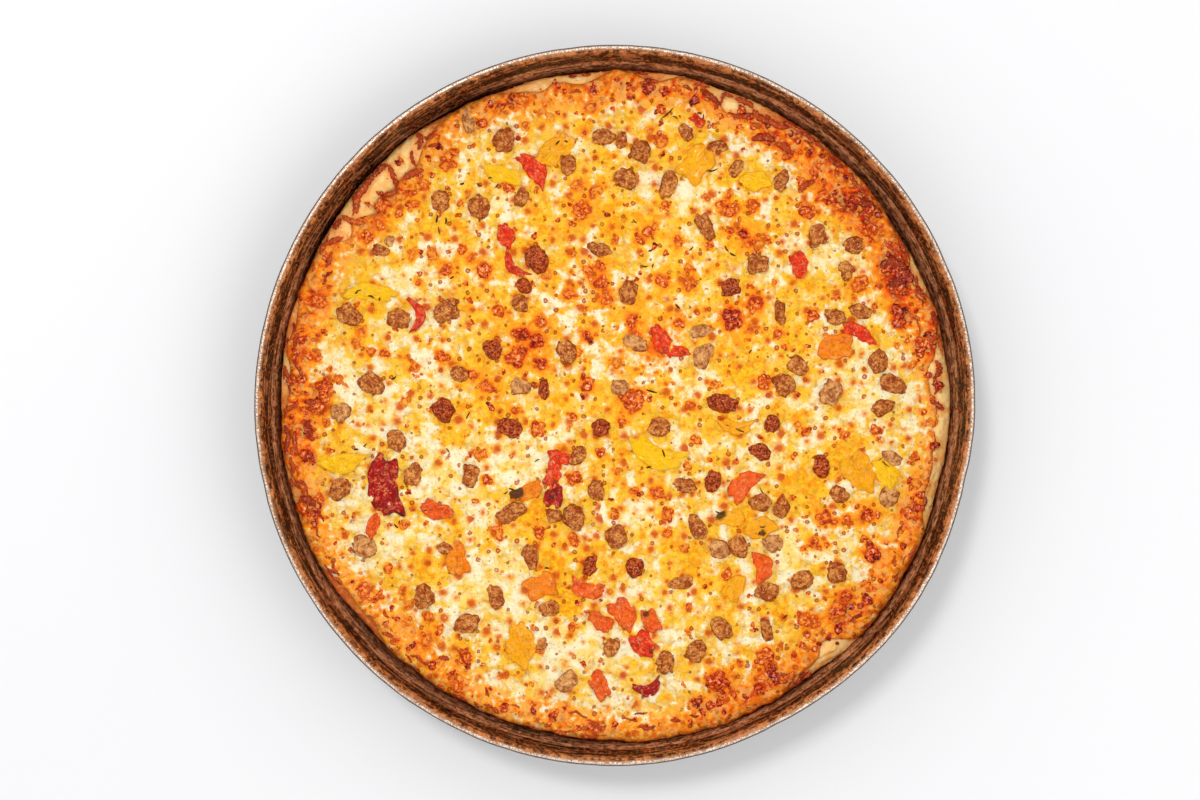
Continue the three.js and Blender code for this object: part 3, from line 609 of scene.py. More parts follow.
class CheeseSkin:
    """The finished surface of the cheese: relief, menisci, and where it is warm or toasted."""

    bare_more = (
        (136, 2.0, 4.5), (140, 1.8, 6.0), (144.5, 2.0, -5.0), (148.5, 2.5, 7.0), (68, 4.0, 2.5),
        (4, 6.0, 2.0), (24, 3.0, 3.0), (311, 3.0, 1.5), (352, 5.0, 1.0), (104, 3.0, 1.5),
    )
    bare_places = (
        (137, 13, 1.3), (311, 5, 1.4), (348, 11, 1.3), (4, 8, 1.4), (24, 4, 1.1), (68, 5, 1.4),
        (79, 4, 1.0), (98, 6, 0.9), (104, 4, 0.9), (160, 8, 0.5), (174, 4, 1.0), (196, 7, 0.6),
        (232, 6, 0.3), (290, 8, 0.5),
    )
    bare_kept = (
        (137, 14, 0.7), (4, 6, 0.3), (67, 4, 0.3), (348, 10, 0.2), (311, 4, 0.3), (98, 6, 0.2),
    )
    lip_reach = 3.8
    least_inset = 0.2
    ridge_clearance = 1.2
    path_steps = 24
    toast_width = 24.0
    toast_wider = ((45, 30, 14), (135, 25, 9), (225, 25, 6), (315, 22, 8), (90, 18, 3))
    toast_heat = 0.56
    toast_hotter = (
        (40, 32, 0.12), (180, 18, 0.10), (225, 22, -0.14), (262, 14, -0.10), (292, 16, 0.06),
    )
    plain_warmth = 0.42

    def __init__(self, form: PizzaForm, toppings: list[Topping], soft: list[Topping]) -> None:
        """Prepare the surface.

        Args:
            form: the sizes of the pizza.
            toppings: the chunks of sausage that the cheese climbs against.
            soft: the pieces of pepper, whose thin edges the cheese covers in places.
        """
        self.form = form
        self.toppings = toppings
        self.soft = soft
        self.waves = Ripples(7.0, 18.0, 26, 11)
        self.lumps = Ripples(3.6, 7.5, 30, 12)
        self.crags = Ripples(3.2, 6.5, 30, 13)
        self.ragged = Ripples(5.0, 12.0, 18, 14)
        self.blisters = from_board(BLISTERS)
        self.patches = from_board(CHEESE_PATCHES)
        self.toasted = from_board(TOASTED_PLACES)
        self.ridges = self.ridge_paths()

    def ridge_paths(self) -> list[tuple[Array, Array, float, float]]:
        """Draw the marked ridges.

        Returns:
            Places along each, its half width and its darkness.
        """
        made = []
        t = np.linspace(0.0, 1.0, self.path_steps)
        for x0, y0, x1, y1, x2, y2, width, tone in RIDGES:
            x, y = on_board(bent_through(x0, x1, x2, t), bent_through(y0, y1, y2, t))
            half = width * GRID / 2
            out = self.form.dough_edge(degrees_of(x, y)) - self.ridge_clearance - half
            k = np.minimum(1.0, out / np.hypot(x, y))
            made.append((x * k, y * k, half, tone))
        return made

    def stain(self, x: Array, y: Array, amount: float) -> Array:
        """How much the marked ridges have browned what lies round them.

        Args:
            x, y: places in millimetres.
            amount: how much the darkest ridge browns.

        Returns:
            The added toast at each place.
        """
        out = np.zeros_like(x)
        for px, py, half, tone in self.ridges:
            for i in range(2, len(px), 5):
                out += self.halo(x, y, px[i], py[i], 1.1 + half, amount * (0.4 + 0.6 * tone))
        return out

    def edge_inset(self, degrees: Array) -> Array:
        """How far the crisped lip of the cheese stays inside the dough's edge.

        Args:
            degrees: angles about the middle of the pan.

        Returns:
            Distances in millimetres.
        """
        bare = np.clip(bumps(self.form.bare_patches, degrees) / 3.0, 0.0, 1.0)
        inset = self.form.cheese_inset(degrees) - self.lip_reach * (1.0 - bare)
        kept = np.clip(0.45 + bumps(self.bare_kept, degrees), 0.0, 1.0)
        return np.maximum(self.least_inset, inset * kept + bumps(self.bare_more, degrees))

    def paleness(self, degrees: Array) -> Array:
        """How pale the bare dough is, from 0 where cheese has crisped over it to 1."""
        return np.clip(bumps(self.bare_places, degrees), 0.0, 1.3)

    def near_rim(self, x: Array, y: Array) -> Array:
        """1 on the rim of the pizza, falling to 0 on the flat of the cheese."""
        return 1.0 - smoothstep(8.0, 34.0, self.form.inset(x, y))

    def top(self, x: Array, y: Array) -> Array:
        """Shape the surface with all its relief.

        Args:
            x, y: places in millimetres.

        Returns:
            Heights in millimetres.
        """
        rim = self.near_rim(x, y)
        z = self.form.cheese_top(x, y)
        z = z + 0.36 * self.waves.at(x, y) + 0.20 * self.lumps.at(x, y)
        z = z + 0.34 * rim * self.crags.at(x, y)
        z = z - 0.07 * np.clip(self.form.crest_inset - self.form.inset(x, y), 0.0, 6.0) ** 2
        uneven = 0.5 + 0.5 * self.ragged.at(x, y)
        for chunk in self.toppings:
            z = z + self.meniscus(chunk, x, y, 0.7)
        for piece in self.soft:
            z = z + self.meniscus(piece, x, y, 1.0) * np.clip(uneven * 1.4, 0.0, 1.3)
        return z

    def meniscus(self, topping: Topping, x: Array, y: Array, rise: float) -> Array:
        """How far the cheese climbs where it meets a topping.

        Args:
            topping: the topping that it meets.
            x, y: places in millimetres.
            rise: the height of the climb in millimetres.

        Returns:
            The added height at each point.
        """
        out = np.zeros_like(x)
        half = topping.length / 2 + 6.0
        near = (np.abs(x - topping.x) < half) & (np.abs(y - topping.y) < half)
        if near.any():
            t = (topping.reach(x[near], y[near]) - 0.92) / 0.26
            out[near] = rise * np.exp(-t * t)
        return out

    def toast(self, x: Array, y: Array) -> Array:
        """How far the cheese has browned.

        Args:
            x, y: places in millimetres.

        Returns:
            From 0 for none to 1 for nearly black.
        """
        degrees = degrees_of(x, y)
        inset = self.form.inset(x, y)
        width = self.toast_width + bumps(self.toast_wider, degrees)
        heat = self.toast_heat + bumps(self.toast_hotter, degrees)
        ring = heat * (1.0 - smoothstep(0.12, 1.0, inset / width))
        ring -= 0.10 * (1.0 - smoothstep(2.0, 9.0, inset))
        total = ring + 0.12 * self.near_rim(x, y) * self.lumps.at(x, y)
        for bx, by, radius, darkness in self.blisters:
            total += self.halo(x, y, bx, by, radius * 1.6, 0.22 + 0.22 * darkness)
        for bx, by, radius, amount in self.toasted:
            total += self.halo(x, y, bx, by, radius, amount)
        return np.clip(total, 0.0, 1.0)

    def cheddar(self, x: Array, y: Array) -> Array:
        """How warm the colour of the cheese is.

        Args:
            x, y: places in millimetres.

        Returns:
            From 0 for white curd to 1 for cheddar.
        """
        total = np.full_like(x, self.plain_warmth)
        for bx, by, radius, amount in self.patches:
            total += self.halo(x, y, bx, by, radius, 0.34 * amount)
        return np.clip(total, 0.0, 1.0)

    @staticmethod
    def halo(
        x: Array, y: Array, cx: float, cy: float, radius: float, amount: float
    ) -> Array:
        """A soft round patch about a point.

        Args:
            x, y: places in millimetres.
            cx, cy: the point, in millimetres.
            radius: its radius in millimetres.
            amount: its strength in the middle.

        Returns:
            The strength at each place.
        """
        out = np.zeros_like(x)
        near = (np.abs(x - cx) < 2.6 * radius) & (np.abs(y - cy) < 2.6 * radius)
        d2 = ((x[near] - cx) ** 2 + (y[near] - cy) ** 2) / (radius * radius)
        out[near] = amount * np.exp(-d2)
        return out

    def surface(self, x: Array, y: Array) -> Array:
        """What shows from above: the cheese, or the dough where it is bare.

        Args:
            x, y: places in millimetres.

        Returns:
            Heights in millimetres.
        """
        degrees = degrees_of(x, y)
        inset = self.form.inset(x, y)
        covered = smoothstep(-0.6, 0.6, inset - self.edge_inset(degrees))
        bare = self.form.dough_top(inset, degrees)
        return bare + (self.top(x, y) - bare) * covered


# ---------------------------------------- meshes and pieces


def spun(section: Points, turns: int) -> BMesh:
    """Spin a section into a closed shell.

    Args:
        section: radius and height of its points, from the axis round to the axis.
        turns: how many steps the spin has.

    Returns:
        The shell.
    """
    bm = bmesh.new()
    verts = [bm.verts.new((r, 0.0, z)) for r, z in section]
    edges = [bm.edges.new(pair) for pair in zip(verts, verts[1:])]
    bmesh.ops.spin(
        bm, geom=verts + edges, cent=(0, 0, 0), axis=(0, 0, 1), dvec=(0, 0, 0),
        angle=2 * math.pi, steps=turns, use_merge=True, use_normal_flip=False,
    )
    bmesh.ops.remove_doubles(bm, verts=bm.verts[:], dist=1e-4)
    return bm


def corners_of(bm: BMesh) -> Array:
    """Places of a bmesh's corners."""
    return np.array([v.co[:] for v in bm.verts])


def move_corners(bm: BMesh, places: Array) -> None:
    """Put a bmesh's corners at places given in millimetres."""
    for vert, place in zip(bm.verts, places):
        vert.co = place * MM


def to_mesh(bm: BMesh, name: str) -> Mesh:
    """Turn a bmesh into a mesh.

    Args:
        bm: the bmesh, which is freed.
        name: the mesh's name.

    Returns:
        The mesh.
    """
    mesh = bpy.data.meshes.new(name)
    bm.to_mesh(mesh)
    bm.free()
    return mesh


def linked(name: str, data: bpy.types.ID) -> Object:
    """Make an object and put it in the scene.

    Args:
        name: its name.
        data: its mesh, camera or light.

    Returns:
        The object.
    """
    obj = bpy.data.objects.new(name, data)
    bpy.context.scene.collection.objects.link(obj)
    return obj


def hand_over(
    mesh: Mesh, values: dict[str, Array], finish: "Finish",
    replaced: list[str],
) -> None:
    """Make a mesh a piece of the part: smooth, with its values, its finish and its place.

    Args:
        mesh: the finished mesh, whose name the piece takes.
        values: one number a point for each name.
        finish: its material.
        replaced: the nodes it stands for.
    """
    for key, numbers in values.items():
        layer = mesh.attributes.new(key, "FLOAT", "POINT")
        layer.data.foreach_set("value", np.ascontiguousarray(numbers, dtype=np.float32))
    mesh.shade_smooth()
    mesh.materials.append(finish.material)
    obj = linked(mesh.name, mesh)
    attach(obj, BODY)
    if replaced:
        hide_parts(*replaced)
    log.info("%s: %d triangles", obj.name, sum(len(p.vertices) - 2 for p in mesh.polygons))


@dataclass
class Shape:
    """Corners, triangles and named values of a mesh that is joined from many small shapes."""

    corners: Array
    faces: Array
    values: dict[str, Array]

    @classmethod
    def from_bmesh(cls, bm: BMesh) -> "Shape":
        """Take the corners and triangles of a bmesh.

        Args:
            bm: the bmesh, which is freed.

        Returns:
            The shape.
        """
        bmesh.ops.triangulate(bm, faces=bm.faces[:])
        bm.verts.ensure_lookup_table()
        corners = corners_of(bm)
        faces = np.array([[v.index for v in f.verts] for f in bm.faces], int)
        bm.free()
        return cls(corners, faces, {})

    @classmethod
    def ball(cls, around: int, up: int, lowest: float = -2.0) -> "Shape":
        """Make a unit ball, or the upper part of one.

        Args:
            around, up: how many segments and rings it has.
            lowest: the height below which it is cut away.

        Returns:
            The ball.
        """
        bm = bmesh.new()
        bmesh.ops.create_uvsphere(bm, u_segments=around, v_segments=up, radius=1.0)
        below = [v for v in bm.verts if v.co.z < lowest]
        bmesh.ops.delete(bm, geom=below, context="VERTS")
        return cls.from_bmesh(bm)

    @classmethod
    def joined(cls, shapes: list["Shape"]) -> "Shape":
        """Join several shapes into one.

        Args:
            shapes: the shapes, all with the same named values.

        Returns:
            The joined shape.
        """
        offsets = np.cumsum([0] + [len(s.corners) for s in shapes[:-1]])
        faces = np.vstack([s.faces + o for s, o in zip(shapes, offsets)])
        names = shapes[0].values
        values = {n: np.concatenate([s.values[n] for s in shapes]) for n in names}
        return cls(np.vstack([s.corners for s in shapes]), faces, values)

    def to_piece(self, name: str, finish: "Finish", slot: str, replaced: list[str]) -> None:
        """Make a piece of the shape.

        Args:
            name: the piece's name.
            slot: not used.
            finish, replaced: as hand_over takes them.
        """
        mesh = bpy.data.meshes.new(name)
        mesh.from_pydata((self.corners * MM).tolist(), [], self.faces.tolist())
        mesh.update()
        hand_over(mesh, self.values, finish, replaced)


# ---------------------------------------- shaders


class Wire:
    """A shader value that Python's operators extend with Math nodes."""

    def __init__(self, bench: "Bench", socket: bpy.types.NodeSocket) -> None:
        """Wrap an output socket."""
        self.bench = bench
        self.socket = socket

    def _math(self, operation: str, *values: "Wire | float") -> "Wire":
        """Add one Math node."""
        inputs = dict(enumerate(values))
        return self.bench.wire("ShaderNodeMath", {"operation": operation}, inputs)

    def __add__(self, other: "Wire | float") -> "Wire":
        """Add."""
        return self._math("ADD", self, other)

    __radd__ = __add__

    def __sub__(self, other: "Wire | float") -> "Wire":
        """Subtract."""
        return self._math("SUBTRACT", self, other)

    def __rsub__(self, other: float) -> "Wire":
        """Subtract from a number."""
        return self._math("SUBTRACT", other, self)

    def __mul__(self, other: "Wire | float") -> "Wire":
        """Multiply."""
        return self._math("MULTIPLY", self, other)

    __rmul__ = __mul__

    def size(self) -> "Wire":
        """Drop the sign."""
        return self._math("ABSOLUTE", self)

    def ramp(self, low: float, high: float) -> "Wire":
        """Go smoothly from 0 at low to 1 at high; low may be the larger."""
        inputs = {"Value": self, "From Min": low, "From Max": high}
        return self.bench.wire("ShaderNodeMapRange", SMOOTH, inputs, "Result")


class Bench:
    """Builds the nodes of one material."""

    def __init__(self, name: str) -> None:
        """Start an empty material.

        Args:
            name: the material's name.
        """
        self.material = bpy.data.materials.new(name)
        self.material.use_nodes = True
        self.tree = self.material.node_tree
        self.tree.nodes.clear()
        self.place = Wire(self, self.add("ShaderNodeTexCoord").outputs["Object"])

    def add(
        self, kind: str, settings: dict | None = None, inputs: dict | None = None
    ) -> bpy.types.Node:
        """Add a node.

        Args:
            kind: the node's type.
            settings: its properties; "stops" sets a colour ramp's places and colours.
            inputs: values or wires for its sockets, by name or number.

        Returns:
            The node.
        """
        node = self.tree.nodes.new(kind)
        for key, value in (settings or {}).items():
            if key == "stops":
                self._set_stops(node.color_ramp, value)
            else:
                setattr(node, key, value)
        for key, value in (inputs or {}).items():
            if isinstance(value, Wire):
                self.tree.links.new(value.socket, node.inputs[key])
            else:
                node.inputs[key].default_value = value
        return node

    def wire(
        self, kind: str, settings: dict | None = None, inputs: dict | None = None,
        output: int | str = 0,
    ) -> Wire:
        """Add a node and take one of its outputs, by name or number."""
        return Wire(self, self.add(kind, settings, inputs).outputs[output])

    def vector(self, operation: str, inputs: dict) -> Wire:
        """Add one Vector Math node."""
        return self.wire("ShaderNodeVectorMath", {"operation": operation}, inputs)

    @staticmethod
    def _set_stops(ramp: bpy.types.ColorRamp, stops: tuple[tuple[float, str], ...]) -> None:
        """Set a colour ramp's places and colours.

        Args:
            ramp: the ramp.
            stops: a place from 0 to 1 and a colour's code for each stop.
        """
        while len(ramp.elements) < len(stops):
            ramp.elements.new(1.0)
        for element, (position, code) in zip(ramp.elements, stops):
            element.position = position
            element.color = colour(code)

    def value(self, name: str) -> Wire:
        """Read a named value that the mesh's points carry."""
        return self.wire("ShaderNodeAttribute", {"attribute_name": name}, None, "Fac")

    def noise(
        self, size: float, detail: float = 3.0, twist: float = 0.0, at: Wire | None = None
    ) -> Wire:
        """Cloudy noise from 0 to 1.

        Args:
            size: the size of a cloud in millimetres.
            detail: how many finer layers it has.
            twist: how much it is distorted.
            at: the coordinates, Object by default.

        Returns:
            The noise.
        """
        inputs = {
            "Vector": at or self.place, "Scale": 1.0 / (size * MM), "Detail": detail,
            "Roughness": 0.55, "Distortion": twist,
        }
        return self.wire("ShaderNodeTexNoise", {"noise_dimensions": "3D"}, inputs, "Fac")

    def warped(self, size: float, push: float) -> Wire:
        """Object coordinates pushed about by noise.

        Args:
            size: the size of the noise in millimetres.
            push: how far it pushes in millimetres.

        Returns:
            The coordinates.
        """
        inputs = {"Vector": self.place, "Scale": 1.0 / (size * MM), "Detail": 2.0}
        cloud = self.wire("ShaderNodeTexNoise", {"noise_dimensions": "3D"}, inputs, "Color")
        centred = self.vector("SUBTRACT", {0: cloud, 1: (0.5, 0.5, 0.5)})
        pushed = self.vector("SCALE", {0: centred, "Scale": 2.0 * push * MM})
        return self.vector("ADD", {0: self.place, 1: pushed})

    def cells(self, size: float, at: Wire | None = None) -> tuple[Wire, Wire, Wire]:
        """Scattered dots on the flat of the pizza.

        Args:
            size: the distance between dots in millimetres.
            at: the coordinates, Object by default.

        Returns:
            The distance from the nearest dot, in parts of size, and two numbers from 0 to 1 that
            differ from dot to dot.
        """
        inputs = {"Vector": at or self.place, "Scale": 1.0 / (size * MM), "Randomness": 1.0}
        node = self.add("ShaderNodeTexVoronoi", {"voronoi_dimensions": "2D"}, inputs)
        split = self.add("ShaderNodeSeparateColor", None, {0: Wire(self, node.outputs["Color"])})
        return (
            Wire(self, node.outputs["Distance"]), Wire(self, split.outputs[0]),
            Wire(self, split.outputs[1]),
        )

    def mix(self, factor: Wire | float, a: Wire | str, b: Wire | str, how: str = "MIX") -> Wire:
        """Mix two colours.

        Args:
            factor: 0 for the first, 1 for the second.
            a, b: the colours, or their codes.
            how: the way of mixing.

        Returns:
            The mixed colour.
        """
        a, b = (colour(c) if isinstance(c, str) else c for c in (a, b))
        settings = {"data_type": "RGBA", "blend_type": how, "clamp_factor": True}
        return self.wire("ShaderNodeMix", settings, {0: factor, 6: a, 7: b}, 2)

    def layers(self, base: Wire | str, *coats: tuple[Wire | float, Wire | str]) -> Wire | str:
        """Lay colours over a base, one after the other.

        Args:
            base: the lowest colour, or its code.
            coats: for each colour on top, how much of it shows, and the colour or its code.

        Returns:
            The finished colour.
        """
        for cover, paint in coats:
            base = self.mix(cover, base, paint)
        return base

    def around(self, per_turn: float, inset: Wire, per_mm: float) -> Wire:
        """Coordinates that follow the rim.

        Args:
            per_turn: how far a quarter turn goes, in metres of pattern.
            inset: the distance from the rim in millimetres.
            per_mm: how far a millimetre inward goes, in metres of pattern.

        Returns:
            The coordinates.
        """
        flat = self.vector("MULTIPLY", {0: self.place, 1: (1, 1, 0)})
        unit = self.vector("NORMALIZE", {0: flat})
        turn = self.vector("SCALE", {0: unit, "Scale": per_turn})
        inward = self.wire("ShaderNodeCombineXYZ", None, {"Z": inset * per_mm})
        return self.vector("ADD", {0: turn, 1: inward})

    def bump(self, height: Wire, depth: float, strength: float = 1.0) -> Wire:
        """Turn relief from 0 to 1, and so many millimetres deep, into a normal."""
        inputs = {"Height": height, "Distance": depth * MM, "Strength": strength}
        return self.wire("ShaderNodeBump", None, inputs, "Normal")

    def surface(self, inputs: dict) -> None:
        """Close the material with a Principled shader that takes values or wires."""
        shader = self.wire("ShaderNodeBsdfPrincipled", None, inputs)
        self.add("ShaderNodeOutputMaterial", None, {"Surface": shader})


class Finish(Bench):
    """A material that builds itself."""

    name = "finish"

    def __init__(self) -> None:
        """Build the material."""
        super().__init__(self.name)
        self.build()

    def build(self) -> None:
        """Build the nodes."""
        raise NotImplementedError


class MeltedCheese(Finish):
    """Melted cheese: white curd, warm cheddar, specks, and toast that deepens to the rim."""

    name = "melted_cheese"

    def build(self) -> None:
        """Build the nodes."""
        cloud = self.noise(13.0, 2.0)
        patch = self.noise(8.0, 1.5, 0.5)
        small = self.noise(3.6, 2.0, 0.3)
        grain = self.noise(2.0, 3.0, 0.2)
        fine = self.noise(0.9, 2.0)
        toast = self.value("toast")
        warm = self.value("cheddar") + 1.35 * (patch - 0.5) + 0.65 * (small - 0.5)
        milk = (0.5 * cloud + 0.5 * small + 0.6 * (patch - 0.5)).ramp(0.38, 0.58)
        amber = self.mix(small.ramp(0.38, 0.60), "#FFC41A", "#FA9A08")
        curd = (0.4 * grain + 0.6 * small).ramp(0.50, 0.62) * warm.ramp(0.8, 0.4)
        lump, shade, _ = self.cells(4.6, self.warped(4.0, 1.6))
        # seam: painted shade (#DC9E24) in the creases between curd lumps, where the relief sinks
        seam = (lump + 0.5 * (grain - 0.5)).ramp(0.42, 0.70) * (0.1 + 0.6 * shade)
        bent = self.warped(2.2, 0.7)
        gap, pick, _ = self.cells(2.3, bent)
        fat = gap.ramp(0.40, 0.16) * pick.ramp(0.40, 0.55)
        depth = toast + 0.55 * (patch - 0.5) + 0.60 * (small - 0.5) + 0.45 * (grain - 0.5)
        want = 0.04 + 0.40 * toast + 0.12 * warm + 0.30 * (cloud - 0.5)
        dots = self.spots(bent, 2.9, want, 0.30)
        gap, pick, wide = self.cells(8.2, self.warped(3.0, 1.0))
        near = (0.26 + 0.34 * wide - gap + 0.3 * (grain - 0.5)) * (pick + want).ramp(0.46, 0.66)
        pads = self.spots(bent, 5.6, want + 0.08, 0.27)
        gap, pick, _ = self.cells(6.0, bent)
        herb = gap.ramp(0.09, 0.05) * pick.ramp(0.64, 0.72)
        inward = self.value("inset").ramp(26.0, 14.0)
        island = (0.5 * patch + 0.5 * small).ramp(0.49, 0.58) * inward
        lip = (self.value("shore") + 7.0 * (small - 0.5) + 6.0 * (grain - 0.5)).ramp(3.0, 0.2)
        base = self.layers(
            self.mix(milk, "#FFF0C6", "#FFD866"),
            (warm.ramp(0.26, 0.50), "#FFC630"),
            (warm.ramp(0.52, 0.80), amber),
            (curd * 0.45, "#FFF4CE"),
            (seam * warm.ramp(-0.1, 0.4), "#DC9E24"),
            (fat * 0.2, "#C4942A"),
            (depth.ramp(0.12, 0.40), "#FFA41C"),
            (depth.ramp(0.36, 0.58), "#F8760E"),
            (depth.ramp(0.58, 0.80), "#D83A04"),
            (depth.ramp(0.80, 1.04), "#8A1400"),
            (dots[1] * 0.5, "#F0942A"),
            (dots[0] * 0.3, "#C46412"),
            (near.ramp(0.0, 0.32) * 0.75, "#FA9618"),
            (near.ramp(0.18, 0.44) * 0.85, "#CC4A0C"),
            (pads[1] * 0.7, "#EC6A12"),
            (pads[0] * 0.6, "#B03806"),
            (herb * 0.6, "#7E6A1C"),
            (island * 0.6, "#FFBE60"),
            (lip * 0.5, "#B43C0A"),
        )
        relief = small * 0.7 + grain * 0.45 + fine * 0.15 + near * 0.4 + pads[0] * 0.35
        rough = 0.36 + 0.25 * grain - 0.12 * pads[0] - 0.06 * depth.ramp(0.2, 0.8)
        self.surface({
            "Base Color": base, "Roughness": rough,
            "Normal": self.bump(relief - lump * 0.25, 1.9), "Subsurface Weight": 0.06,
            "Subsurface Radius": (1.0, 0.6, 0.3), "Subsurface Scale": 0.0012,
            "Specular IOR Level": 0.12,
        })

    def spots(self, at: Wire, size: float, want: Wire, widest: float) -> tuple[Wire, Wire]:
        """Round toasted spots, more of them where they are wanted.

        Args:
            at: the coordinates.
            size: the distance between spots in millimetres.
            want: how likely a spot is, 0 for none and 1 for all.
            widest: the largest radius, in parts of size.

        Returns:
            The ring round each spot, and the whole spot.
        """
        gap, pick, wide = self.cells(size, at)
        there = (pick + want).ramp(0.86, 0.98)
        radius = widest * (0.45 + 0.55 * wide)
        whole = (radius - gap).ramp(-0.02, 0.06) * there
        ring = whole * (gap - radius * 0.45).ramp(-0.04, 0.04)
        return ring, whole


class BrownedBlister(Finish):
    """A blister of cheese: a dark ring round a glossy orange dome, with painted highlight specks.
    """

    name = "browned_blister"

    def build(self) -> None:
        """Build the nodes."""
        grain = self.noise(1.9, 3.0, 0.5)
        across = self.value("across") + 0.7 * (grain - 0.5)
        level = self.value("tone") + 0.6 * (self.noise(3.4, 2.0) - 0.5)
        steps = [level.ramp(0.05, 0.40), level.ramp(0.40, 0.75), level.ramp(0.75, 1.0)]
        light = self.layers("#FFB03A", *zip(steps, ("#FA8420", "#F05E1A", "#C43C20")))
        dark = self.layers("#EE9426", *zip(steps, ("#C84404", "#901200", "#480400")))
        # painted highlight: pale specks laid where the grain is high on the browner blisters
        painted_highlight = self.mix(level.ramp(0.75, 0.95), "#FFC88C", "#C08A8C")
        skirt = self.mix(level.ramp(0.1, 0.7), "#FFB43A", "#EA640C")
        base = self.layers(
            self.mix(grain.ramp(0.44, 0.54), dark, light),
            (grain.ramp(0.58, 0.64) * level.ramp(0.2, 0.6) * 0.8, painted_highlight),
            (across.ramp(0.62, 0.90) * 0.75, dark),
            (across.ramp(0.88, 1.06), skirt),
        )
        self.surface({
            "Base Color": base, "Roughness": 0.22 + 0.2 * grain,
            "Normal": self.bump(grain, 1.3), "Coat Weight": 0.25, "Coat Roughness": 0.06,
            "Specular IOR Level": 0.06,
        })


class CrispStrand(Finish):
    """Strings of cheese that have crisped along the rim."""

    name = "crisp_strand"

    def build(self) -> None:
        """Build the nodes."""
        grain = self.noise(1.3, 3.0, 0.4)
        level = self.value("tone") + 1.3 * (self.noise(3.0, 2.0) - 0.5) + 0.9 * (grain - 0.5)
        # edge: painted shade, darker towards the strand's sides
        edge = (self.value("across") + 0.8 * (grain - 0.5)).ramp(0.50, 0.95)
        base = self.layers(
            self.mix(level.ramp(0.0, 0.5), "#F08228", "#C4481A"),
            (level.ramp(0.5, 1.1), "#8C240C"),
            (edge * 0.7, "#7E1400"),
            # painted highlight specks where the grain is high
            (grain.ramp(0.58, 0.66) * 0.6, "#F8A266"),
        )
        self.surface({
            "Base Color": base, "Roughness": 0.24 + 0.25 * grain,
            "Normal": self.bump(grain, 1.4), "Coat Weight": 0.2, "Coat Roughness": 0.08,
            "Specular IOR Level": 0.06,
        })


class CookedSausage(Finish):
    """Ground sausage: brown, crumbly and moist with fat, with painted shade in its seams and at its
    foot, and painted highlight specks.
    """

    name = "cooked_sausage"

    def build(self) -> None:
        """Build the nodes."""
        height = self.value("height")
        crumb = self.value("crumb")
        lump = self.noise(4.2, 3.0, 0.6)
        grain = self.noise(1.5, 3.0, 0.3)
        ruddy = self.noise(6.0, 2.0, 0.6).ramp(0.50, 0.62)
        browned = (self.value("tone") + 0.9 * (lump - 0.5)).ramp(0.30, 0.65)
        dark = self.mix(grain.ramp(0.40, 0.62), "#761600", "#CC5A22")
        # speck: painted highlight specks, stronger towards the top of the chunk
        speck = self.noise(0.8, 2.0).ramp(0.60, 0.70) * (0.1 + 0.5 * height)
        # seam: painted shade in the crevices between crumbs
        seam = (crumb + 0.4 * (grain - 0.5)).ramp(0.26, 0.02)
        film = (self.value("veil") + 0.8 * (lump - 0.5) + 0.3 * (grain - 0.5)).ramp(0.35, 0.85)
        # foot_shade: painted shade, darker towards the chunk's foot
        foot_shade = (height + 0.7 * (lump - 0.5)).ramp(0.66, 0.12)
        base = self.layers(
            self.mix(lump.ramp(0.38, 0.62), "#A04406", "#E29242"),
            # painted highlight on the pale grain
            (grain.ramp(0.55, 0.66) * 0.6, "#F2B26C"),
            (grain.ramp(0.47, 0.36) * 0.75, "#7E2C02"),
            (ruddy * 0.5, "#A43C0C"),
            (browned, dark),
            (speck, "#FFDCB0"),
            (seam * 0.4, "#722C08"),
            (film * 0.6, "#F0BC78"),
            (foot_shade * 0.7, "#863408"),
        )
        relief = lump * 0.6 + grain * 0.5 + crumb * 0.3
        self.surface({
            "Base Color": base, "Roughness": 0.26 + 0.30 * grain,
            "Normal": self.bump(relief, 1.5), "Specular IOR Level": 0.1,
        })


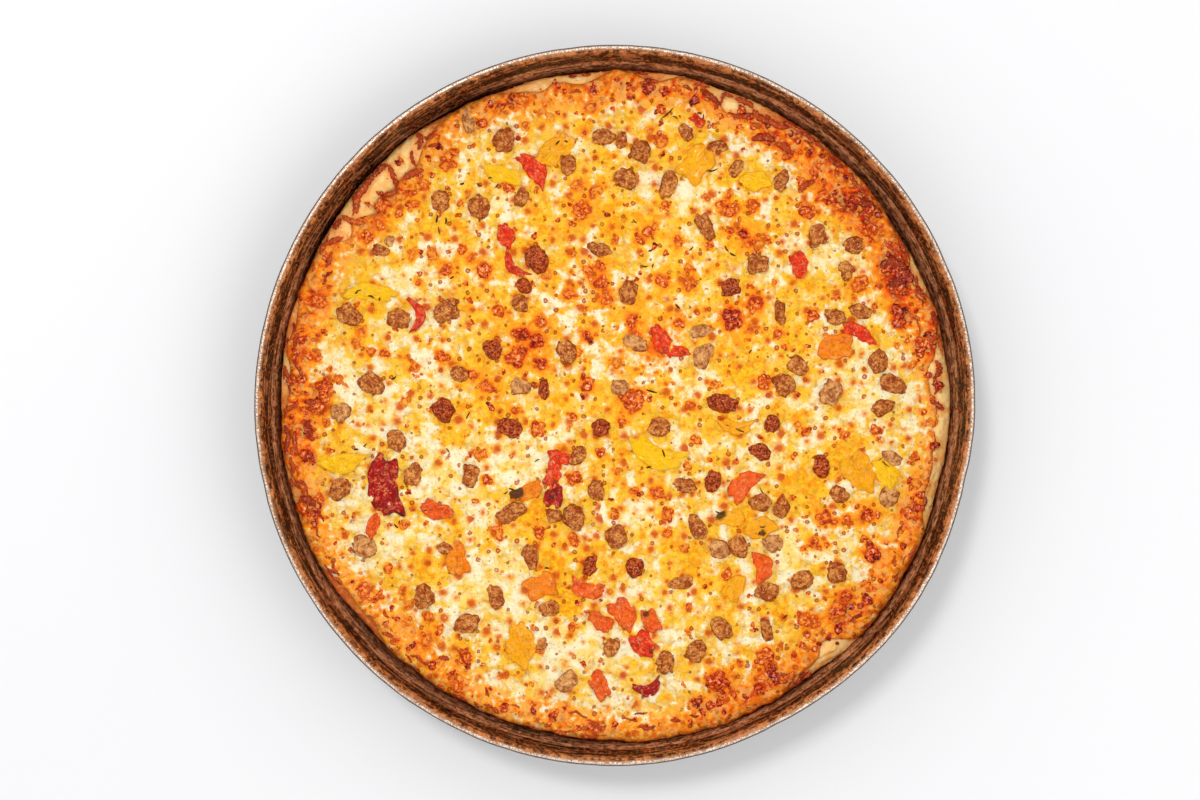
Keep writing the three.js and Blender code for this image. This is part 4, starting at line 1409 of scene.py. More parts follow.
class RoastedPepper(Finish):
    """Roasted pepper: glossy skin from yellow to dark red, wrinkled and scorched in places."""

    name = "roasted_pepper"
    stops = (
        (0.0, "#FFC400"), (0.2, "#FFAE00"), (0.4, "#F98604"), (0.6, "#F45C0A"), (0.8, "#F03608"),
        (1.0, "#B80E10"),
    )

    def build(self) -> None:
        """Build the nodes."""
        hue = self.value("hue")
        edge = self.value("across")
        streak = self.noise(5.0, 3.0, 1.2)
        grain = self.noise(1.4, 3.0, 0.4)
        broad = self.noise(9.0, 2.0, 0.8)
        soft = self.noise(2.8, 2.0, 0.6)
        # fold: thin lines of painted shade along the wrinkles
        fold = (self.noise(7.0, 2.0, 1.6) - 0.5).size().ramp(0.03, 0.0)
        place = hue + 0.16 * (streak - 0.5) + 0.30 * (broad - 0.5)
        ripe = self.wire("ShaderNodeValToRGB", {"stops": self.stops}, {0: place})
        pale = self.mix(0.6, ripe, "#FFE28A")
        ripe = self.mix(streak.ramp(0.56, 0.72) * 0.5, ripe, pale)
        # painted_shade_colour darkens the skin as painted shade: at its edge, in the low streaks of
        # the relief, where the soft mottle is high, and along the fold lines
        painted_shade_colour = self.mix(0.75, ripe, "#8A2A06", "MULTIPLY")
        ripe = self.layers(
            ripe,
            (edge.ramp(0.82, 1.0) * (0.25 + 0.35 * hue), painted_shade_colour),
            (streak.ramp(0.47, 0.36) * (0.1 + 0.6 * hue), painted_shade_colour),
            (soft.ramp(0.52, 0.64) * (0.1 + 0.6 * hue), painted_shade_colour),
            (fold * (0.2 + 0.4 * hue), painted_shade_colour),
        )
        shine = (soft + 0.3 * (streak - 0.5)).ramp(0.44, 0.34) * (0.15 + 0.6 * hue)
        film = (self.value("veil") + 1.4 * (streak - 0.5) + edge - 1.0).ramp(0.20, 0.60)
        burnt = (self.value("scorch") + 0.6 * (grain - 0.5)).ramp(0.35, 0.65)
        base = self.layers(
            ripe,
            (shine, self.mix(0.6, ripe, "#FFA05A")),
            # painted highlight specks where the grain is high
            (grain.ramp(0.62, 0.70) * 0.35, "#FFE0B0"),
            (broad.ramp(0.50, 0.36) * hue.ramp(0.84, 0.96) * 0.6, "#66060A"),
            (film * 0.85, "#FFE08A"),
            (burnt * 0.9, "#3A1B0C"),
        )
        self.surface({
            "Base Color": base, "Roughness": 0.24 + 0.2 * grain,
            "Normal": self.bump(streak * 0.7 + grain * 0.3, 1.8), "Coat Weight": 0.3,
            "Coat Roughness": 0.08, "Specular IOR Level": 0.06, "Subsurface Weight": 0.05,
            "Subsurface Radius": (1.0, 0.4, 0.1), "Subsurface Scale": 0.0015,
        })


class BakedDough(Finish):
    """Baked dough: pale gold with toasted patches and a browned edge."""

    name = "baked_dough"

    def build(self) -> None:
        """Build the nodes."""
        patch = self.noise(9.0, 3.0, 0.5)
        grain = self.noise(2.0, 4.0, 0.2)
        fine = self.noise(0.7, 2.0)
        inset = self.value("inset")
        pale = self.value("pale")
        gap, pick, _ = self.cells(5.0)
        bubble = gap.ramp(0.4, 0.1) * pick.ramp(0.6, 0.8)
        brown = (inset + 2.6 * (grain - 0.5)).ramp(1.4, -0.8)
        singe = (inset + 2.4 * (patch - 0.5)).ramp(-0.2, -1.6)
        near = (self.value("stain") + 0.9 * (grain - 0.5)).ramp(0.20, 0.95)
        crisp = pale + 1.8 * (patch - 0.5) + 1.3 * (grain - 0.5)
        base = self.layers(
            self.mix(patch.ramp(0.35, 0.65), "#FFD88A", "#FFB658"),
            (grain.ramp(0.5, 0.75) * 0.6, "#F49C40"),
            (bubble * 0.5, "#FFE4B2"),
            (brown * (0.45 - 0.3 * pale), "#E8883A"),
            (singe * (0.35 - 0.2 * pale), "#C4682A"),
            (near * 0.6, "#E88430"),
            (crisp.ramp(0.72, 0.42) * 0.9, "#F28C34"),
            (crisp.ramp(0.26, 0.0) * 0.8, "#D65E20"),
            (crisp.ramp(-0.12, -0.42) * 0.8, "#943A12"),
        )
        relief = grain * 0.6 + fine * 0.3 + bubble * 0.5
        self.surface({
            "Base Color": base, "Roughness": 0.6 + 0.2 * grain,
            "Normal": self.bump(relief, 0.6), "Subsurface Weight": 0.08,
            "Subsurface Radius": (1.0, 0.6, 0.3), "Subsurface Scale": 0.001,
        })


class SeasonedMetal(Finish):
    """Pan metal under burnt-on seasoning: worn bright on the rim with a painted highlight there,
    black below it.
    """

    name = "seasoned_metal"

    def build(self) -> None:
        """Build the nodes."""
        height = self.value("height")
        bead = self.value("bead")
        soot_and_shade = self.value("soot_and_shade")
        cloud = self.noise(22.0, 3.0, 0.4)
        smear = self.noise(1.2, 4.0, 0.5, self.around(0.06, height, 0.00036))
        drawn = self.noise(1.2, 4.0, 0.3, self.around(0.012, height, 0.0006))
        streak = self.noise(5.0, 4.0, 0.5)
        grain = self.noise(3.0, 4.0, 0.3)
        fine = self.noise(1.5, 2.0)
        speck = self.noise(0.7, 2.0)
        low = self.mix(smear.ramp(0.40, 0.58), "#844A22", "#E4A272")
        burnt = self.mix(smear.ramp(0.48, 0.62), "#120200", "#8A3408")
        copper = self.mix(smear.ramp(0.42, 0.58), "#5A1E04", "#D08446")
        pale = self.mix(speck.ramp(0.40, 0.60), "#B08460", "#FFF2E2")
        skin = self.mix(streak.ramp(0.35, 0.7), "#2A1A14", "#5A3A28")
        level = height + 3.5 * (streak - 0.5) + 2.5 * (cloud - 0.5) + 3.0 * (smear - 0.5)
        # soot_and_shade spreads the burnt colour further down the wall, partly as painted shade
        rise = (level - 6.0 * soot_and_shade).ramp(32.5, 38.5) + soot_and_shade
        seam = (level - 42.0).size().ramp(2.6, 0.6)
        crust = (grain * 0.6 + fine * 0.4 - 0.2 * (streak - 0.5)).ramp(0.49, 0.45)
        fleck = (grain * 0.4 + fine * 0.6).ramp(0.54, 0.58)
        # the pale crown of the rolled rim is worn metal with a painted highlight on it
        wear_and_highlight_level = bead + 0.6 * (grain - 0.5) + 0.8 * (cloud - 0.5) + 0.8 * (speck - 0.5)
        wear_and_highlight = wear_and_highlight_level.ramp(0.5, 0.9)
        base = self.layers(
            self.mix(rise.ramp(0.45, 0.8), low, burnt),
            (seam * 0.8, "#0E0200"),
            (level.ramp(45.0, 46.6), copper),
            (crust * 0.55, "#140400"),
            (fleck * 0.55, "#C4743A"),
            (drawn.ramp(0.53, 0.60) * 0.7, "#160500"),
            (drawn.ramp(0.46, 0.40) * 0.5, "#C8865A"),
            (bead.ramp(0.03, 0.5) * 0.7, "#B87C50"),
            (wear_and_highlight, pale),
            # outside: dark seasoned skin, with painted shade on the outer side of the rolled rim
            (self.value("outside"), skin),
        )
        self.surface({
            "Base Color": base, "Metallic": 0.2 + 0.15 * wear_and_highlight,
            "Roughness": 0.46 + 0.3 * (grain - 0.5) - 0.05 * wear_and_highlight,
            "Normal": self.bump(grain * 0.6 + fine * 0.4, 0.4, 0.7),
            "Specular IOR Level": 0.3,
        })


class DriedHerb(Finish):
    """Dark flecks of herb and char."""

    name = "dried_herb"

    def build(self) -> None:
        """Build the nodes."""
        grain = self.noise(1.0, 2.0)
        base = self.mix(self.value("tone"), "#2A1606", "#4C3E0C")
        base = self.mix(grain * 0.4, base, "#6A4010")
        self.surface({
            "Base Color": base, "Roughness": 0.5 + 0.2 * grain,
            "Normal": self.bump(grain, 0.2), "Specular IOR Level": 0.05,
        })


class WhiteTable(Finish):
    """Plain pale floor."""

    name = "white_table"

    def build(self) -> None:
        """Build the nodes."""
        base = self.mix(self.noise(300.0, 1.0), "#ECECEE", "#EFEFF0")
        self.surface({"Base Color": base, "Roughness": 0.6})


# ---------------------------------------- assemblies


@dataclass
class Pan:
    """The round pan: floor, corner, flared wall and rolled rim, spun from one profile."""

    form: PanForm
    turns: int = 320
    bead_steps: int = 22
    corner_steps: int = 8
    wall_steps: int = 6
    flat_radii: tuple = (120.0, 170.0)
    bead_start: float = -125.0
    bead_depth: float = 2.6
    dings: tuple = (14, 60, 20, 31)
    ding_depth: float = 0.12
    # soot_and_shade: darker wall at the upper left and in two smaller places, partly burnt
    # seasoning and partly painted shade
    soot_and_shade: tuple = ((133, 32, 1.0), (60, 22, 0.45), (292, 12, 0.4))

    @staticmethod
    def arc(cx: float, cz: float, radius: float, start: float, stop: float, steps: int) -> Points:
        """Points of an arc between two angles in degrees."""
        angles = np.radians(np.linspace(start, stop, steps + 1))
        return [(cx + radius * math.cos(a), cz + radius * math.sin(a)) for a in angles]

    def profile(self) -> Points:
        """Draw the pan's section, from the middle of its underside to that of its floor.

        Returns:
            Radius and height of each point.
        """
        f = self.form
        lean = math.degrees(math.atan(f.flare))
        near, far = self.flat_radii
        corner_r, corner_z = f.bend
        points = [(0.0, 0.0), (near, 0.0), (far, 0.0)]
        points += self.arc(corner_r, corner_z, f.corner + f.sheet, -90, -lean, self.corner_steps)
        bead_z = f.height - f.bead_radius
        start, steps = self.bead_start, self.bead_steps
        bead = self.arc(f.crown, bead_z, f.bead_radius, start, 180 - lean, steps)
        points += self.between(points[-1], bead[0], self.wall_steps) + bead
        inner = self.arc(corner_r, corner_z, f.corner, -lean, -90, self.corner_steps)
        points += self.between(bead[-1], inner[0], self.wall_steps + 2) + inner
        return points + [(far, f.sheet), (near, f.sheet), (0.0, f.sheet)]

    @staticmethod
    def between(a: tuple, b: tuple, steps: int) -> Points:
        """Points strictly between two points."""
        return [tuple(p + (q - p) * i / steps for p, q in zip(a, b)) for i in range(1, steps)]

    def build(self) -> None:
        """Spin the profile, push in the dents and dress the metal."""
        bm = spun(self.profile(), self.turns)
        bmesh.ops.recalc_face_normals(bm, faces=bm.faces[:])
        co = corners_of(bm)
        x, y, z = co.T.copy()
        r = np.hypot(x, y)
        degrees = degrees_of(x, y)
        push = self.form.dent(degrees, z) * smoothstep(150, 190, r)
        dings = self.ding_depth * Ripples(*self.dings).at(x, y) * smoothstep(20, 45, z)
        k = 1.0 + (push + np.minimum(dings, 0.0)) / np.maximum(r, 1.0)
        co[:, :2] *= k[:, None]
        move_corners(bm, co)
        crown = self.form.crown
        values = {
            "height": z, "outside": self.outside(r, z),
            "bead": smoothstep(crown - 1.9, crown + 1.0, r) * smoothstep(45.0, 47.0, z),
            "soot_and_shade": np.clip(bumps(self.soot_and_shade, degrees), 0, 1),
        }
        mesh = to_mesh(bm, "seasoned_pan")
        hand_over(mesh, values, SeasonedMetal(), ["pan"])

    def outside(self, r: Array, z: Array) -> Array:
        """Tell the outside of the pan from its inside.

        Args:
            r, z: radii and heights in millimetres.

        Returns:
            1 on the outside and the underside, and 0 inside.
        """
        f = self.form
        middle = f.wall_inner(z) + f.sheet * 0.5
        wall = ((r > middle) & (z < f.height - self.bead_depth)).astype(float)
        # the outer side of the rolled rim counts as outside too; its dark colour there is partly
        # seasoning and partly painted shade
        bead = smoothstep(f.crown + 0.9, f.crown + 1.5, r)
        corner_r, corner_z = f.bend
        away = np.hypot(np.maximum(r - corner_r, 0.0), corner_z - z)
        under = (away > f.corner + f.sheet / 2) & (z < corner_z)
        return np.maximum(np.maximum(wall, bead), under)


@dataclass
class Dough:
    """The dough: a thick disc whose edge climbs to a rounded, craggy rim."""

    form: PizzaForm
    pan: PanForm
    skin: CheeseSkin
    gap: float = 0.3
    turns: int = 600
    top_insets: tuple = (6.3, 7.2, 8.2, 9.4, 10.8, 12.4, 14.2, 16.2, 18.6, 22, 40, 100)
    top_mark: float = -1.0
    crag_depth: float = 0.22

    def profile(self) -> Array:
        """Draw the section up the side and over the rim, with its corners cut.

        Returns:
            Radius and height of each point.
        """
        e = self.form.dough_radius
        bottom = self.pan.sheet + self.gap
        side = [(e - 11.5, bottom), (e - 5, bottom + 4.5), (e - 0.7, 21), (e, 26), (e - 0.8, 29.6)]
        side += [(e - self.form.crest_inset, self.form.dough_crest)]
        points = np.array(side, float)
        for _ in range(2):
            near = 0.75 * points[:-1] + 0.25 * points[1:]
            far = 0.25 * points[:-1] + 0.75 * points[1:]
            cut = np.empty((2 * len(near), 2))
            cut[0::2], cut[1::2] = near, far
            points = np.vstack([points[:1], cut, points[-1:]])
        return points

    def build(self) -> None:
        """Spin the profile, lift it to its heights and dress it."""
        e = self.form.dough_radius
        side = self.profile()
        top = [(e - i, self.top_mark) for i in self.top_insets] + [(0.0, self.top_mark)]
        bm = spun([(0.0, side[0][1])] + [tuple(p) for p in side] + top, self.turns)
        co = corners_of(bm)
        x, y, z = co.T.copy()
        r = np.hypot(x, y)
        degrees = degrees_of(x, y)
        edge = self.form.dough_edge(degrees)
        on_top = z < 0.0
        wanted = r + (edge - e) * smoothstep(150, e - 12, r)
        crest = self.form.rim_lumps(degrees) * smoothstep(24, 31, z)
        height = np.where(on_top, self.form.dough_top(edge - wanted, degrees), z + crest)
        lumps = Ripples(2.4, 6.0, 28, 41).at(x, y + 3.0 * height)
        rough = np.where(on_top, 0.0, self.crag_depth * lumps * smoothstep(12, 20, height))
        wanted = wanted + rough
        height = height + self.crag_depth * lumps * smoothstep(20, 25, height)
        limit = self.pan.wall_inner(height) + self.pan.dent(degrees, height)
        wanted = np.minimum(wanted, limit - self.form.wall_clearance)
        k = np.where(r < 1.0, 1.0, wanted / np.maximum(r, 1e-6))
        move_corners(bm, np.column_stack([x * k, y * k, height]))
        bmesh.ops.recalc_face_normals(bm, faces=bm.faces[:])
        values = {
            "inset": edge - np.hypot(x * k, y * k),
            "stain": np.clip(self.skin.stain(x * k, y * k, 0.8), 0.0, 1.0),
            "pale": self.skin.paleness(degrees),
        }
        hand_over(to_mesh(bm, "baked_dough"), values, BakedDough(), ["crust"])


@dataclass
class Cheese:
    """The melted cheese: one skin over the pizza, closed by a skirt that reaches into the dough."""

    form: PizzaForm
    skin: CheeseSkin
    spots: Array
    cells: int = 300
    skirt_floor: float = 21.5
    skirt: tuple = ((1.6, 1.0), (99.0, 0.985))
    lobes: tuple = ((0.3, 41, 1), (0.25, 67, 3), (0.2, 97, 0))
    lip_width: float = 1.3
    lip_drop: float = 0.8

    @staticmethod
    def to_disc(a: Array, b: Array) -> tuple[Array, Array]:
        """Map a square grid onto the unit disc with cells of nearly one size.

        Args:
            a, b: places across and up the square, from -1 to 1.

        Returns:
            Radius and angle of each place.
        """
        wide = np.abs(a) > np.abs(b)
        safe_a = np.where(np.abs(a) < 1e-9, 1e-9, a)
        safe_b = np.where(np.abs(b) < 1e-9, 1e-9, b)
        radius = np.where(wide, a, b)
        angle = np.where(wide, np.pi / 4 * b / safe_a, np.pi / 2 - np.pi / 4 * a / safe_b)
        x, y = radius * np.cos(angle), radius * np.sin(angle)
        return np.hypot(x, y), np.arctan2(y, x)

    def edge_radius(self, degrees: Array) -> Array:
        """Ragged outer radius of the cheese."""
        inner = self.form.dough_edge(degrees) - self.skin.edge_inset(degrees)
        return inner + waves(self.lobes, degrees)

    def build(self) -> None:
        """Shape a fine grid into the skin, close it and dress it."""
        bm = bmesh.new()
        bmesh.ops.create_grid(bm, x_segments=self.cells, y_segments=self.cells, size=1.0)
        rho, angle = self.to_disc(*corners_of(bm).T[:2])
        degrees = np.degrees(angle) % 360.0
        inner = self.form.dough_radius - self.form.cheese_edge_inset
        edge = self.edge_radius(degrees)
        r = rho * (inner + (edge - inner) * smoothstep(0.82, 1.0, rho))
        x, y = r * np.cos(angle), r * np.sin(angle)
        roll = np.clip(1.0 - (edge - r) / self.lip_width, 0.0, 1.0) ** 2
        z = self.skin.top(x, y) - self.lip_drop * roll
        move_corners(bm, np.column_stack([x, y, z]))
        self.close(bm)
        x, y = corners_of(bm).T[:2] / MM
        toast = self.skin.toast(x, y) + self.skin.stain(x, y, 0.16)
        for sx, sy, size, tone in self.spots:
            toast += self.skin.halo(x, y, sx, sy, 1.1 * size + 0.3, 0.05 + 0.10 * tone)
        values = {
            "toast": np.clip(toast, 0.0, 1.0),
            "cheddar": self.skin.cheddar(x, y),
            "inset": self.form.inset(x, y),
            "shore": self.edge_radius(degrees_of(x, y)) - np.hypot(x, y),
        }
        mesh = to_mesh(bm, "melted_cheese")
        hand_over(mesh, values, MeltedCheese(), ["cheese"])

    def close(self, bm: BMesh) -> None:
        """Give the skin a skirt and a flat underside that lie inside the dough.

        Args:
            bm: the skin, in metres.
        """
        for drop, draw_in in self.skirt:
            rim = [e for e in bm.edges if e.is_boundary]
            made = bmesh.ops.extrude_edge_only(bm, edges=rim)
            for vert in (v for v in made["geom"] if isinstance(v, bmesh.types.BMVert)):
                vert.co.x *= draw_in
                vert.co.y *= draw_in
                vert.co.z = max(self.skirt_floor * MM, vert.co.z - drop * MM)
        rim = [e for e in bm.edges if e.is_boundary]
        bmesh.ops.edgeloop_fill(bm, edges=rim)
        bmesh.ops.recalc_face_normals(bm, faces=bm.faces[:])


@dataclass
class Blisters:
    """Domes of browned cheese: marked clusters, clusters along the rim, and many small ones."""

    form: PizzaForm
    skin: CheeseSkin
    toppings: list[Topping]
    small_count: int = 850
    rim_clusters: int = 150
    apart: float = 5.0
    seed: int = 71

    def clear(self, x: Array, y: Array, reach: float) -> Array:
        """Tell which places are clear of all toppings.

        Args:
            x, y: places in millimetres.
            reach: the least distance, in parts of a topping's size.

        Returns:
            Whether each is clear.
        """
        free = np.ones(len(x), bool)
        for topping in self.toppings:
            free &= topping.reach(x, y) > reach
        return free

    def scattered(self, rng: np.random.Generator, count: int, rim: bool) -> Array:
        """Draw places, thicker where the cheese has browned.

        Args:
            rng: the random numbers.
            count: how many places to draw.
            rim: whether they keep to the rim.

        Returns:
            One row of x, y and the toast there, for each place.
        """
        tries = 30 * count
        reach = self.form.dough_radius - 6.0
        angle = rng.random(tries) * 2 * np.pi
        r = reach * np.sqrt(rng.random(tries))
        x, y = r * np.cos(angle), r * np.sin(angle)
        toast, warm = self.skin.toast(x, y), self.skin.cheddar(x, y)
        chance = 1.3 * toast**2 if rim else 0.06 + 0.45 * toast + 0.25 * warm
        keep = (rng.random(tries) < chance) & self.clear(x, y, 1.0)
        if not rim:
            return np.column_stack([x, y, toast])[keep][:count]
        kept = list(self.skin.blisters[:, :3])
        marked = len(kept)
        for row in np.column_stack([x, y, toast])[keep & (r > reach - 38.0)]:
            if all(math.hypot(row[0] - k[0], row[1] - k[1]) > self.apart for k in kept):
                kept.append(row)
        return np.array(kept[marked : marked + count])

    def cluster(
        self, rng: np.random.Generator, x: float, y: float, radius: float, tone: float
    ) -> list[tuple]:
        """Break a blister up into a few domes that run together.

        Args:
            rng: the random numbers.
            x, y, radius, tone: its place, radius and darkness.

        Returns:
            A row of x, y, radius and tone for each dome.
        """
        count = 2 + int(radius * 0.9 + rng.random())
        rows = []
        for i in range(count):
            away = radius * (0.15 if i == 0 else 0.35 + 0.4 * rng.random())
            turn = rng.random() * 2 * math.pi
            size = radius * ((0.62 if i == 0 else 0.34) + 0.2 * rng.random())
            shade = min(1.0, max(0.0, tone + 0.3 * (rng.random() - 0.5)))
            rows.append((x + away * math.cos(turn), y + away * math.sin(turn), size, shade))
        return rows

    def rows(self) -> Array:
        """Draw all domes.

        Returns:
            A row of x, y and radius in millimetres, and tone, for each.
        """
        rng = np.random.default_rng(self.seed)
        made = []
        for x, y, radius, tone in self.skin.blisters:
            made += self.cluster(rng, x, y, 1.2 * radius, tone - 0.15)
        for x, y, toast in self.scattered(rng, self.rim_clusters, True):
            size = 1.5 + 2.3 * rng.random() ** 1.5
            made += self.cluster(rng, x, y, size, 0.2 + 0.65 * toast + 0.35 * rng.random())
        for x, y, toast in self.scattered(rng, self.small_count, False):
            size = 0.6 + 1.7 * rng.random() ** 1.9
            tone = 0.45 * toast + 0.4 * (rng.random() - 0.6) + 0.42 * (size - 0.7)
            tone = min(1.0, max(0.0, tone))
            if size > 1.0:
                made += self.cluster(rng, x, y, size, tone)
            else:
                made.append((x, y, size, tone))
        return np.array(made)

    def build(self) -> None:
        """Set a dome at each place and dress them."""
        unit = Shape.ball(8, 6, -0.1)
        rng = np.random.default_rng(self.seed + 1)
        rows = self.rows()
        count, corners = len(rows), len(unit.corners)
        turn = rng.random(count) * 2 * np.pi
        oval = 1.0 + 0.7 * (rng.random(count) - 0.5)
        size = rows[:, 2]
        wobble = 1.0 + 0.30 * (rng.random((count, corners)) - 0.5)
        ux = unit.corners[None, :, 0] * (size * oval)[:, None] * wobble
        uy = unit.corners[None, :, 1] * (size / oval)[:, None] * wobble
        c, s = np.cos(turn)[:, None], np.sin(turn)[:, None]
        x = rows[:, 0:1] + ux * c - uy * s
        y = rows[:, 1:2] + ux * s + uy * c
        lift = unit.corners[None, :, 2] * (0.38 * size + 0.12)[:, None] * wobble
        z = self.skin.top(x.ravel(), y.ravel()).reshape(x.shape) + lift - 0.12
        across = np.broadcast_to(np.hypot(unit.corners[:, 0], unit.corners[:, 1]), x.shape)
        tone = np.broadcast_to(rows[:, 3:4], x.shape)
        faces = (unit.faces[None] + (np.arange(count) * corners)[:, None, None]).reshape(-1, 3)
        shape = Shape(
            np.column_stack([x.ravel(), y.ravel(), z.ravel()]), faces,
            {"across": across.ravel(), "tone": tone.ravel()},
        )
        shape.to_piece("browned_blisters", BrownedBlister(), "cheese", ["cheese"])


@dataclass
class Strands:
    """Ridges of cheese that crisped along the rim and round the bare dough."""

    form: PizzaForm
    skin: CheeseSkin
    along_rim: int = 130
    seed: int = 91

    def paths(self, rng: np.random.Generator) -> list[tuple]:
        """Draw all ridges.

        Args:
            rng: the random numbers.

        Returns:
            Places along each, its half width and its darkness.
        """
        t = np.linspace(0.0, 1.0, self.skin.path_steps)
        made = list(self.skin.ridges)
        for _ in range(self.along_rim):
            span = 1.2 + 2.6 * rng.random()
            start = rng.random() * 360.0
            if self.skin.paleness(np.array([start + span / 2]))[0] > 0.5 + 0.8 * rng.random():
                continue
            wave = (0.4 + 0.6 * rng.random()) * np.sin(
                2 * np.pi * (t * span * (0.22 + 0.2 * rng.random()) + rng.random())
            )
            inset = 1.2 + 14.0 * rng.random() ** 1.6 + wave + 4.0 * (rng.random() - 0.5) * t
            inset = np.maximum(1.7, inset)
            angle = np.radians(start + span * t)
            r = self.form.dough_edge(np.degrees(angle) % 360) - inset
            half = 0.6 + 0.85 * rng.random() ** 1.3
            made.append((r * np.cos(angle), r * np.sin(angle), half, 0.35 + 0.6 * rng.random()))
        return made

    def build(self) -> None:
        """Lay all ridges and dress them."""
        rng = np.random.default_rng(self.seed)
        rod = Shape.ball(8, 18)
        t = np.arccos(np.clip(rod.corners[:, 2], -1, 1)) / np.pi
        round_ = np.hypot(rod.corners[:, 0], rod.corners[:, 1])
        side = np.where(round_ > 1e-6, rod.corners[:, 0] / np.maximum(round_, 1e-6), 0.0)
        up = np.where(round_ > 1e-6, rod.corners[:, 1] / np.maximum(round_, 1e-6), 0.0)
        shapes = []
        for px, py, thick, shade in self.paths(rng):
            step = np.linspace(0.0, 1.0, len(px))
            nx, ny = -np.gradient(py), np.gradient(px)
            length = np.hypot(nx, ny)
            knots = 1.0 + 0.22 * np.sin(2 * np.pi * (step * 3 * (1 + rng.random()) + rng.random()))
            knots += 0.16 * np.sin(2 * np.pi * (step * 6 * (1 + rng.random()) + rng.random()))
            girth = thick * knots * np.clip(np.sin(np.pi * step), 0, 1) ** 0.4
            wide = np.interp(t, step, girth)
            x = np.interp(t, step, px) + side * wide * np.interp(t, step, nx / length)
            y = np.interp(t, step, py) + side * wide * np.interp(t, step, ny / length)
            middle = self.skin.surface(np.interp(t, step, px), np.interp(t, step, py))
            z = middle + 0.1 * thick + 0.5 * up * wide
            values = {"tone": np.full(len(t), shade), "across": np.abs(side)}
            shapes.append(Shape(np.column_stack([x, y, z]), rod.faces, values))
        Shape.joined(shapes).to_piece("crisp_strands", CrispStrand(), "cheese", ["cheese"])


@dataclass
class Sausage:
    """Chunks of ground sausage: rough rounded blocks, half sunk in the cheese."""

    form: PizzaForm
    rise: float = 0.34
    sink: float = 2.5
    rounding: float = 0.93
    dark_tone: float = 0.85
    full_veil: float = 0.62
    chunk_seed: int = 100
    bit_seed: int = 500

    def ball(self, fineness: int) -> Shape:
        """A unit ball.

        Args:
            fineness: how often its faces are divided.

        Returns:
            The ball.
        """
        bm = bmesh.new()
        bmesh.ops.create_icosphere(bm, subdivisions=fineness, radius=1.0)
        return Shape.from_bmesh(bm)

    @staticmethod
    def marked(topping: Topping, marks: Points) -> bool:
        """Whether a topping is one of the marked ones."""
        x, y = topping.x / GRID, topping.y / GRID
        return any(math.hypot(x - mx, y - my) < 3.0 for mx, my in marks)

    def lump(self, ball: Shape, topping: Topping, seed: int) -> Shape:
        """Shape one chunk.

        Args:
            ball: the unit ball it starts from.
            topping: where it lies.
            seed: the seed of its solid.

        Returns:
            The chunk.
        """
        height = topping.width * self.rise * (0.9 + 0.25 * Dice(seed).roll())
        unit = ball.corners
        shift = Vector((seed * 3.7, seed * 1.3, seed * 0.7))
        rough = np.empty(len(unit))
        crumb = np.empty(len(unit))
        for i, corner in enumerate(unit):
            at = Vector(corner)
            near, far = noise.voronoi(at * 1.7 + shift)[0][:2]
            crumb[i] = min(1.0, (far - near) * 1.8)
            broad = noise.noise(at * 1.2 + shift)
            lobe = noise.noise(at * 2.6 + shift)
            grit = noise.noise(at * 8.0 + shift)
            rough[i] = 1.0 + 0.26 * broad + 0.15 * lobe + 0.07 * (crumb[i] - 0.5) + 0.03 * grit
        square = np.sign(unit) * np.abs(unit) ** self.rounding
        u = square[:, 0] * rough * topping.length / 2
        v = square[:, 1] * rough * topping.width / 2
        w = np.maximum(-self.sink, square[:, 2] * rough * height)
        x, y = topping.place(u, v)
        base = float(self.form.cheese_top(np.array([topping.x]), np.array([topping.y]))[0])
        rng = np.random.default_rng(seed)
        dark, veiled = self.marked(topping, DARK_MEAT), self.marked(topping, VEILED_MEAT)
        tone = self.dark_tone if dark else 0.05 + 0.3 * rng.random()
        veil = self.full_veil if veiled else 0.08 * rng.random()
        count = len(unit)
        values = {
            "tone": np.full(count, tone), "veil": np.full(count, veil), "crumb": crumb,
            "height": np.clip(w / height, -1.0, 1.0),
        }
        return Shape(np.column_stack([x, y, base + w]), ball.faces, values)

    def build(self) -> None:
        """Make the chunks that are nodes and the bits that are fused to the cheese."""
        meat = CookedSausage()
        names = [f"sausage_{i + 1:02d}" for i in range(len(CHUNKS))]
        chunks = self.lumps(self.ball(5), CHUNKS, self.chunk_seed)
        bits = self.lumps(self.ball(4), BITS, self.bit_seed)
        chunks.to_piece("sausage_chunks", meat, "sausage", names)
        bits.to_piece("sausage_bits", meat, "sausage", ["cheese"])

    def lumps(self, ball: Shape, rows: list[tuple], seed: int) -> Shape:
        """Shape a chunk for each row of the layout, with seeds that count up."""
        toppings = [Topping.from_steps(row) for row in rows]
        return Shape.joined([self.lump(ball, at, seed + i) for i, at in enumerate(toppings)])


